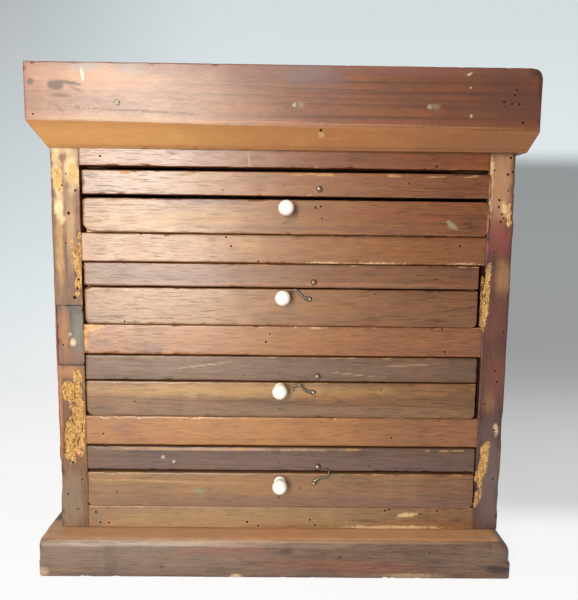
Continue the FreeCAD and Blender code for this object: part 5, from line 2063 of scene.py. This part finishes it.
@dataclass
class Case:
    """One case with its lid, knob, latch pin and hook."""

    tier: int
    finish: Finish
    lid_finish: Finish
    marks: tuple[Mark, ...] = ()
    holes: tuple[Hole, ...] = ()
    corners: tuple[Corner, ...] = ()
    lid_marks: tuple[Mark, ...] = ()
    lid_holes: tuple[Hole, ...] = ()
    hook_turn: float | None = None
    knob_radius: float = 7.6
    knob_reach: float = 12.8
    knob_half_deep: float = 7.6
    hook_reach: float = 15.2
    hook_slim: float = 0.93
    hook_outer: float = 5.7
    hook_thick: float = 1.0
    curl_from: float = 206.0
    curl_sweep: float = 196.0
    curl_steps: int = 28

    def front(self) -> Board:
        """The front board of the case.

        Returns:
            The board.
        """
        return Board.over(f"case_{self.tier}_front", body=f"case_{self.tier}",
                          finish=self.finish, slot="case_wood", marks=self.marks,
                          holes=self.holes, corners=self.corners, edge=1.5, chips=1.6, wear=1.0,
                          wave=0.3, seed=400 + self.tier * 13)

    def lid(self) -> LidFrame:
        """The slats round the lid.

        Returns:
            The board.
        """
        return LidFrame.closed(self.tier, finish=self.lid_finish, slot="lid_wood",
                               marks=self.lid_marks, holes=self.lid_holes, edge=1.2, chips=1.4,
                               wear=0.8, wave=0.25, seed=500 + self.tier * 13)

    def knob(self) -> None:
        """The turned porcelain knob: a foot, a neck and a ball."""
        node = f"case_{self.tier}_knob"
        low, high = box_of(node)
        profile = [(0.0, 0.0), (5.5, 0.0), (6.0, 0.5), (6.05, 1.2), (5.7, 1.9), (4.9, 2.6),
                   (4.35, 3.6), (4.05, 4.6), (4.05, 5.6), (4.25, 6.2)]
        for step in range(7, 36):
            angle = math.pi * step / 36
            profile.append((self.knob_radius * math.sin(angle),
                            self.knob_reach - self.knob_half_deep * math.cos(angle)))
        profile.append((0.0, self.knob_reach + self.knob_half_deep))
        place = ((low[0] + high[0]) / 2, high[1], (low[2] + high[2]) / 2)

        def layers(points: np.ndarray) -> Layers:
            """Darker round the foot and a little on the neck: dust, and painted shade where the
            knob meets the wood and under the ball.
            """
            tint, state = plain_layers(points)
            reach = high[1] - points[:, 1]
            state[:, 1] = (1 - ease(0.2, 2.4, reach)) * 0.9
            neck = 1 - ease(1.5, 3.5, np.abs(reach - 5.5))
            state[:, 1] = np.maximum(state[:, 1], neck * 0.45)
            return tint, state

        put_up(Shell.turned(profile, 48).moved(place), f"case_{self.tier}_porcelain_knob",
               Finish.PORCELAIN, f"case_{self.tier}", node, layers)

    def pin(self) -> None:
        """The round-headed latch pin on the lid."""
        node = f"lid_{self.tier}_pin"
        low, high = box_of(node)
        long = high[1] - low[1]
        radius = (high[0] - low[0]) / 2
        shank, dome, head = 0.6, 2.0, 2.2
        profile = [(0.0, 0.0), (shank, 0.0), (shank, long - head), (radius * 0.94, long - head)]
        for step in range(9):
            angle = math.pi / 2 * step / 9
            profile.append((radius * math.cos(angle), long - dome + dome * math.sin(angle)))
        profile.append((0.0, long))
        place = ((low[0] + high[0]) / 2, high[1], (low[2] + high[2]) / 2)
        put_up(Shell.turned(profile, 28).moved(place), f"lid_{self.tier}_latch_pin",
               Finish.PIN_BRASS, f"lid_{self.tier}", node)

    def hook(self) -> None:
        """The flat swan-neck hook: an eye, a broad arm and a thin pointed crescent."""
        node = f"hook_{self.tier}"
        pivot = np.array(joint_of(f"hook_{self.tier}_pivot")["pos_m"]) / MM
        low, high = box_of(node)
        spine = [(-1.5, 0.0, 2.0), (0.0, 0.0, 2.9), (2.5, 0.2, 2.3), (5.0, 0.3, 1.9),
                 (7.4, 0.0, 1.8), (9.2, -0.9, 1.7)]
        for step in range(self.curl_steps + 1):
            share = step / self.curl_steps
            angle = math.radians(self.curl_from + share * self.curl_sweep)
            half = 1.3 + 0.25 * math.sin(math.pi * share) - 1.35 * max(0.0, share - 0.55) / 0.45
            half = max(half, 0.12)
            middle = self.hook_outer - half
            spine.append((self.hook_reach + middle * math.cos(angle),
                          middle * math.sin(angle), half))
        shell = self.strip(spine)
        turn = math.radians(self.hook_turn)
        along, up = shell.points[:, 0].copy(), shell.points[:, 2].copy()
        shell.points[:, 0] = pivot[0] + along * math.cos(turn) - up * math.sin(turn)
        shell.points[:, 2] = pivot[2] + along * math.sin(turn) + up * math.cos(turn)
        shell.points[:, 1] += (low[1] + high[1]) / 2
        put_up(shell, f"hook_{self.tier}_swan_neck", Finish.HOOK_BRASS, node, node)

    def strip(self, spine: list[tuple[float, float, float]]) -> Shell:
        """A flat strip with bevelled edges along a line in the XZ plane.

        Args:
            spine: Place and half width at each step.

        Returns:
            The strip's skin.
        """
        line = np.array(spine)
        way = np.gradient(line[:, :2], axis=0)
        way /= np.linalg.norm(way, axis=1, keepdims=True)
        side = np.stack([-way[:, 1], way[:, 0]], axis=1)
        thick = self.hook_thick / 2
        rings = []
        for row, aside in zip(line, side):
            half = row[2] * self.hook_slim
            bevel = min(0.32, half * 0.5)
            ring = ((-half, -thick + bevel), (-half, thick - bevel), (-half + bevel, thick),
                    (half - bevel, thick), (half, thick - bevel), (half, -thick + bevel),
                    (half - bevel, -thick), (-half + bevel, -thick))
            rings.append([[row[0] + aside[0] * out, depth, row[1] + aside[1] * out]
                          for out, depth in ring])
        points = np.array(rings).reshape(-1, 3)
        here = np.arange(8)
        after = (here + 1) % 8
        faces = []
        for level in range(len(rings) - 1):
            one, two = level * 8, (level + 1) * 8
            faces.append(np.stack([one + here, two + here, two + after, one + after], axis=1))
        caps = []
        for start in (0, (len(rings) - 1) * 8):
            ring = start + here
            quads = [[ring[0], ring[1], ring[2], ring[7]], [ring[2], ring[3], ring[6], ring[7]],
                     [ring[3], ring[4], ring[5], ring[6]]]
            caps.extend(quads if start == 0 else [quad[::-1] for quad in quads])
        faces.append(np.array(caps))
        return Shell(points, np.concatenate(faces))

    def build(self) -> None:
        """Builds the case's own pieces and dresses the rest of the frame."""
        self.front().make()
        self.lid().make()
        self.knob()
        self.pin()
        if self.hook_turn is not None:
            self.hook()
        tier = self.tier
        dress(f"case_{tier}_walls", Finish.BARE_DEEP)
        dress(f"case_{tier}_bottom", Finish.BARE)
        dress(f"case_{tier}_dividers", Finish.BARE_DEEP)
        dress(f"lid_{tier}_panel", Finish.BARE)
        dress(f"case_{tier}_fittings", Finish.BRIGHT_BRASS)
        dress(f"lid_{tier}_leaves", Finish.BRASS)


def top_case() -> Case:
    """The top case, which has lost its hook.

    Returns:
        The case, with what is seen on it.
    """
    return Case(
        1, Finish.CASE_1, Finish.LID_1,
        # the glow mark paints the window's glare on the left of the front
        marks=(glow(363, Tone(148, 108, 54), 0.35),
               Mark(-90, 380, 96, 12, PURPLE, 0.75, -2, 0.6, 0.9),
               Mark(-188, 372, 26, 1.4, SOOT, 0.6, -3, 0.4),
               Mark(-120, 358, 150, 12, OCHRE, 0.35, 2, 0.8),
               Mark(163, 356, 13, 5.5, Tone(124, 128, 104), 0.8, -36, 0.3, 0.8),
               Mark(0.5, 382, 3, 3, SOOT, 0.7), Mark(0.8, 356.9, 2.4, 2.4, SOOT, 0.7),
               # a pale line down the right end of the front
               Mark(198.5, 360, 1.8, 24, PALE_END_LINE, 0.75),
               Mark(-80, 360, 120, 3, RED_BROWN, 0.45, 1, 0.8),
               Mark(90, 366, 130, 12, Tone(118, 56, 36), 0.4, -1, 0.8),
               Mark(20, 352, 220, 4, Tone(96, 60, 52), 0.45, 0, 0.8)),
        holes=(Hole(29.7, 372.1, 1.7), Hole(34.9, 373.2, 1.7), Hole(32.2, 370.8, 1.2),
               Hole(36, 361.6, 1.3)),
        corners=(Corner(False, False, 11, 7), Corner(True, False, 5, 5),
                 Corner(True, True, 4, 4), Corner(False, True, 3, 3)),
        # the glow mark paints the window's glare on the left of the lid
        lid_marks=(glow(393, Tone(158, 108, 60), 0.32, -10, 240),
                   # a pale line down the right end of the lid
                   Mark(198.5, 392, 1.6, 16, PALE_END_LINE),
                   Mark(0, 393.3, 2.6, 2.6, SOOT, 0.7),
                   Mark(60, 398, 200, 5, Tone(104, 62, 44), 0.4, 0.5, 0.8),
                   Mark(-100, 386, 120, 3, Tone(118, 74, 52), 0.4, 0, 0.8)),
        lid_holes=(Hole(-60, 388, 1.2), Hole(120, 396, 1.2)))


def second_case() -> Case:
    """The second case, with a strong slanting grain.

    Returns:
        The case, with what is seen on it.
    """
    return Case(
        2, Finish.CASE_2, Finish.LID_2,
        # the glow mark paints the window's glare on the left of the front
        marks=(glow(274, Tone(142, 100, 50), 0.5),
               Mark(-174, 262, 32, 1.8, SOOT, 0.65, -5, 0.5, 0.8),
               Mark(-148, 258, 3, 3, SOOT, 0.8),
               Mark(40, 262, 180, 5, Tone(104, 62, 46), 0.4, -4, 0.8),
               Mark(130, 276, 110, 3, STREAK, 0.45, -12, 0.8),
               Mark(110, 268, 130, 3, STREAK, 0.45, -12, 0.8),
               Mark(18, 292, 8, 4, Tone(90, 56, 42), 0.4),
               Mark(-2, 284, 22, 14, Tone(120, 72, 50), 0.3)),
        holes=(Hole(-158, 258, 1.4), Hole(90, 288, 1.1)),
        corners=(Corner(False, False, 4, 4), Corner(True, False, 4, 4)),
        # the glow mark paints the window's glare on the left of the lid
        lid_marks=(glow(305, Tone(136, 94, 60), 0.3, -20),
                   Mark(-120, 304, 130, 14, PURPLE, 0.5, 0, 0.9),
                   Mark(-2, 302.5, 2.4, 2.4, SOOT, 0.8),
                   Mark(60, 310, 220, 4, Tone(98, 62, 52), 0.45, 0, 0.8),
                   Mark(60, 297, 220, 3, Tone(170, 116, 84), 0.3, 0, 0.8)),
        lid_holes=(Hole(150, 303, 1.3),), hook_turn=162)


def third_case() -> Case:
    """The third case, olive under its worn varnish.

    Returns:
        The case, with what is seen on it.
    """
    return Case(
        3, Finish.CASE_3, Finish.LID_3,
        marks=(Mark(-60, 188, 290, 13, OCHRE, 0.55, 0, 0.8),
               Mark(0, 167, 390, 12, GREY_BROWN, 0.45, 0, 0.8),
               Mark(-2.6, 169.5, 2.2, 2.2, SOOT, 0.7),
               Mark(120, 185, 140, 3, Tone(122, 78, 52), 0.45, 1, 0.8),
               Mark(58, 179, 8, 3, SOOT, 0.4), Mark(-84, 183, 5, 2.4, SOOT, 0.35)),
        holes=(Hole(-150, 176, 1.3), Hole(100, 190, 1.2)),
        corners=(Corner(False, False, 7, 6), Corner(True, False, 4, 4)),
        lid_marks=(Mark(0, 210, 390, 22, GREY_BROWN, 0.4, 0, 0.9),
                   Mark(-4, 206.5, 2.4, 2.4, SOOT, 0.8),
                   Mark(-80, 214, 60, 1.2, SCRATCH, 0.5, 8),
                   Mark(70, 206, 46, 1.0, SCRATCH, 0.5, -6),
                   Mark(130, 216, 60, 1.2, SCRATCH, 0.4, 3)),
        lid_holes=(Hole(-40, 204, 1.2),), hook_turn=168)


def bottom_case() -> Case:
    """The bottom case, tan below and greyed above.

    Returns:
        The case, with what is seen on it.
    """
    return Case(
        4, Finish.CASE_4, Finish.LID_4,
        # the glow mark paints the window's glare on the left of the front
        marks=(glow(88, Tone(158, 126, 86), 0.4),
               Mark(0, 70, 390, 13, Tone(98, 72, 70), 0.5, 0, 0.7, 0.6),
               Mark(-84, 83, 12, 6, Tone(124, 138, 104), 0.5, 10, 0.6, 0.9),
               Mark(-3, 76, 2.2, 2.2, SOOT, 0.7),
               Mark(-120, 92, 140, 2.4, Tone(198, 156, 112), 0.35, -1, 0.8),
               Mark(120, 86, 120, 3, Tone(118, 74, 52), 0.4, 0, 0.8)),
        holes=(Hole(18.8, 85.9, 1.3), Hole(-170, 80, 1.2)),
        corners=(Corner(False, False, 4, 4), Corner(True, False, 4, 4)),
        lid_marks=(Mark(0, 112, 390, 20, Tone(102, 78, 76), 0.4, 0, 0.9),
                   Mark(-3.1, 112.6, 2.4, 2.4, SOOT, 0.8),
                   Mark(-60, 126.5, 240, 2.4, Tone(196, 162, 136), 0.5, 0.2),
                   Mark(-122, 118, 3, 3, PAINT_FLECK, 0.7),
                   Mark(-111, 113, 2.4, 2.4, PAINT_FLECK, 0.7)),
        lid_holes=(Hole(90, 110, 1.2),), hook_turn=42)


# ---------------------------------------------------------------- the room

@dataclass(frozen=True)
class Lamp:
    """One soft rectangular light: where it stands, what it faces, its size, power and colour."""

    name: str
    place: tuple[float, float, float]
    aim: tuple[float, float, float]
    size: tuple[float, float]
    power: float
    tone: Tone = Tone(255, 245, 229)

    def hang(self) -> None:
        """Puts the light in the room, unseen by the camera."""
        light = bpy.data.lights.new(self.name, "AREA")
        light.shape = "RECTANGLE"
        light.size, light.size_y = self.size
        light.energy = self.power
        light.color = self.tone.linear()
        made = add_object(self.name, light)
        made.location = self.place
        made.visible_camera = False
        way = Vector(self.aim) - Vector(self.place)
        made.rotation_euler = way.to_track_quat("-Z", "Y").to_euler()


LAMPS = (
    Lamp("window", (-0.45, -1.45, 0.76), (-0.45, 0.0, 0.76), (0.4, 0.95), 26.5),
    Lamp("side_window", (-1.9, -0.9, 0.5), (0.0, -0.1, 0.2), (1.0, 1.0), 10.0),
    Lamp("low_window", (-0.42, -1.45, 0.15), (-0.42, 0.0, 0.15), (0.5, 0.26), 9.0),
    Lamp("ceiling", (0.3, -0.7, 2.4), (0.0, 0.1, 0.2), (2.2, 2.0), 7.0, Tone(255, 252, 247)),
)


@dataclass
class Room:
    """Floor, backdrop, lights and camera."""

    wall_at: float = 0.95
    curve: float = 0.35
    half_wide: float = 4.0
    near: float = -3.5
    high: float = 3.2
    bends: int = 12
    world_light: float = 0.18
    lens: float = 37.37
    yaw: float = 0.569
    pitch: float = 6.787
    roll: float = 0.684
    stand: tuple[float, float, float] = (-0.00070, -0.75473, 0.35159)

    def backdrop(self) -> None:
        """One pale sheet: the floor, a curve and the wall behind."""
        profile = [(self.near, 0.0), (self.wall_at - self.curve, 0.0)]
        for step in range(1, self.bends + 1):
            angle = math.pi / 2 * step / self.bends
            profile.append((self.wall_at - self.curve + self.curve * math.sin(angle),
                            self.curve - self.curve * math.cos(angle)))
        profile.append((self.wall_at, self.high))
        points, faces = [], []
        for deep, up in profile:
            points.extend([(-self.half_wide, deep, up), (self.half_wide, deep, up)])
        for row in range(len(profile) - 1):
            faces.append((2 * row, 2 * row + 1, 2 * row + 3, 2 * row + 2))
        mesh = bpy.data.meshes.new("floor_and_wall")
        mesh.from_pydata(points, [], faces)
        mesh.polygons.foreach_set("use_smooth", [True] * len(mesh.polygons))
        made = add_object("floor_and_wall", mesh)
        made.data.materials.append(self.paper())

    def paper(self) -> bpy.types.Material:
        """The backdrop's paint: white below, pale blue grey above and darker towards the top with
        painted shade, most at the left, and the cabinet's cast shadow painted at the right.

        Returns:
            A material that is pale to the eye and throws back less light on the cabinet.
        """
        bench = Bench("backdrop_paper")
        across, deep, up = bench.place()
        # the ramps paint the light's falloff: darker towards the top, most at the left
        rise = (up + (deep + 200) * 0.35) / 1400
        left = bench.node("ShaderNodeValToRGB", {"stops": [
            (0.0, Tone(254, 254, 254)), (0.1, Tone(242, 245, 247)), (0.4, Tone(220, 228, 231)),
            (0.98, Tone(176, 181, 185))]}, {0: rise})
        right = bench.node("ShaderNodeValToRGB", {"stops": [
            (0.0, Tone(254, 254, 254)), (0.67, Tone(226, 233, 235)),
            (0.98, Tone(211, 221, 223))]}, {0: rise})
        colour = bench.mix((across / 1000).step(-0.9, -0.1), left, right)
        # painted cast shadow of the cabinet on the floor and wall to its right
        shade = deep.step(-90, 10) * 0.32 + deep.step(0, 900) * 0.3
        shade = shade * across.step(120, 340) * up.step(520, 588, 1.0, 0.0)
        colour = colour.scaled(1 - shade)
        lit = bench.node("ShaderNodeBsdfPrincipled", {},
                         {"Base Color": colour, "Roughness": 0.85, "Specular IOR Level": 0.1})
        glow = bench.node("ShaderNodeEmission", {}, {"Color": colour, "Strength": 1.0})
        seen = bench.node("ShaderNodeMixShader", {}, {0: up.step(0, 260, 0.88, 1.0), 1: lit,
                                                      2: glow})
        grey = bench.node("ShaderNodeBsdfDiffuse", {}, {"Color": Tone(150, 150, 148)})
        rays = bench.node("ShaderNodeLightPath", {}, {}, "Is Camera Ray")
        ways = rays.socket.node.outputs
        looks = rays.most(Signal(bench, ways["Is Glossy Ray"]))
        looks = looks.most(Signal(bench, ways["Is Transmission Ray"]))
        return bench.finish(bench.node("ShaderNodeMixShader", {}, {0: looks, 1: grey, 2: seen}))

    def lights(self) -> None:
        """Two windows in front at the left, one at the side, a light above and a pale world."""
        for lamp in LAMPS:
            lamp.hang()
        world = bpy.data.worlds.new("pale_room")
        bpy.context.scene.world = world
        world.use_nodes = True
        ground = world.node_tree.nodes["Background"]
        ground.inputs["Color"].default_value = Tone(236, 240, 244).rgba()
        ground.inputs["Strength"].default_value = self.world_light

    def camera(self) -> None:
        """The camera in front, a little above the middle and turned down."""
        yaw, pitch, roll = (math.radians(angle) for angle in (self.yaw, self.pitch, self.roll))
        ahead = Vector((math.sin(yaw) * math.cos(pitch), math.cos(yaw) * math.cos(pitch),
                        -math.sin(pitch)))
        right = Vector((math.cos(yaw), -math.sin(yaw), 0))
        above = right.cross(ahead)
        across = right * math.cos(roll) + above * math.sin(roll)
        upward = above * math.cos(roll) - right * math.sin(roll)
        turn = Matrix((across, upward, -ahead)).transposed()
        view = bpy.data.cameras.new("front_view")
        view.sensor_fit = "HORIZONTAL"
        view.sensor_width = 36.0
        view.lens = self.lens
        view.clip_start = 0.01
        made = add_object("front_view", view)
        made.matrix_world = Matrix.Translation(self.stand) @ turn.to_4x4()
        bpy.context.scene.camera = made

    def build(self) -> None:
        """Sets up the whole room."""
        self.camera()
        self.backdrop()
        self.lights()
        bpy.context.scene.view_settings.view_transform = "Standard"


def main() -> None:
    """Builds the room, the carcass, the cornice and the cases, in this order."""
    logging.basicConfig(level=logging.INFO, format="%(message)s")
    Room().build()
    Carcass().build()
    Cornice().build()
    for case in (top_case(), second_case(), third_case(), bottom_case()):
        case.build()


if __name__ == "__main__":
    main()
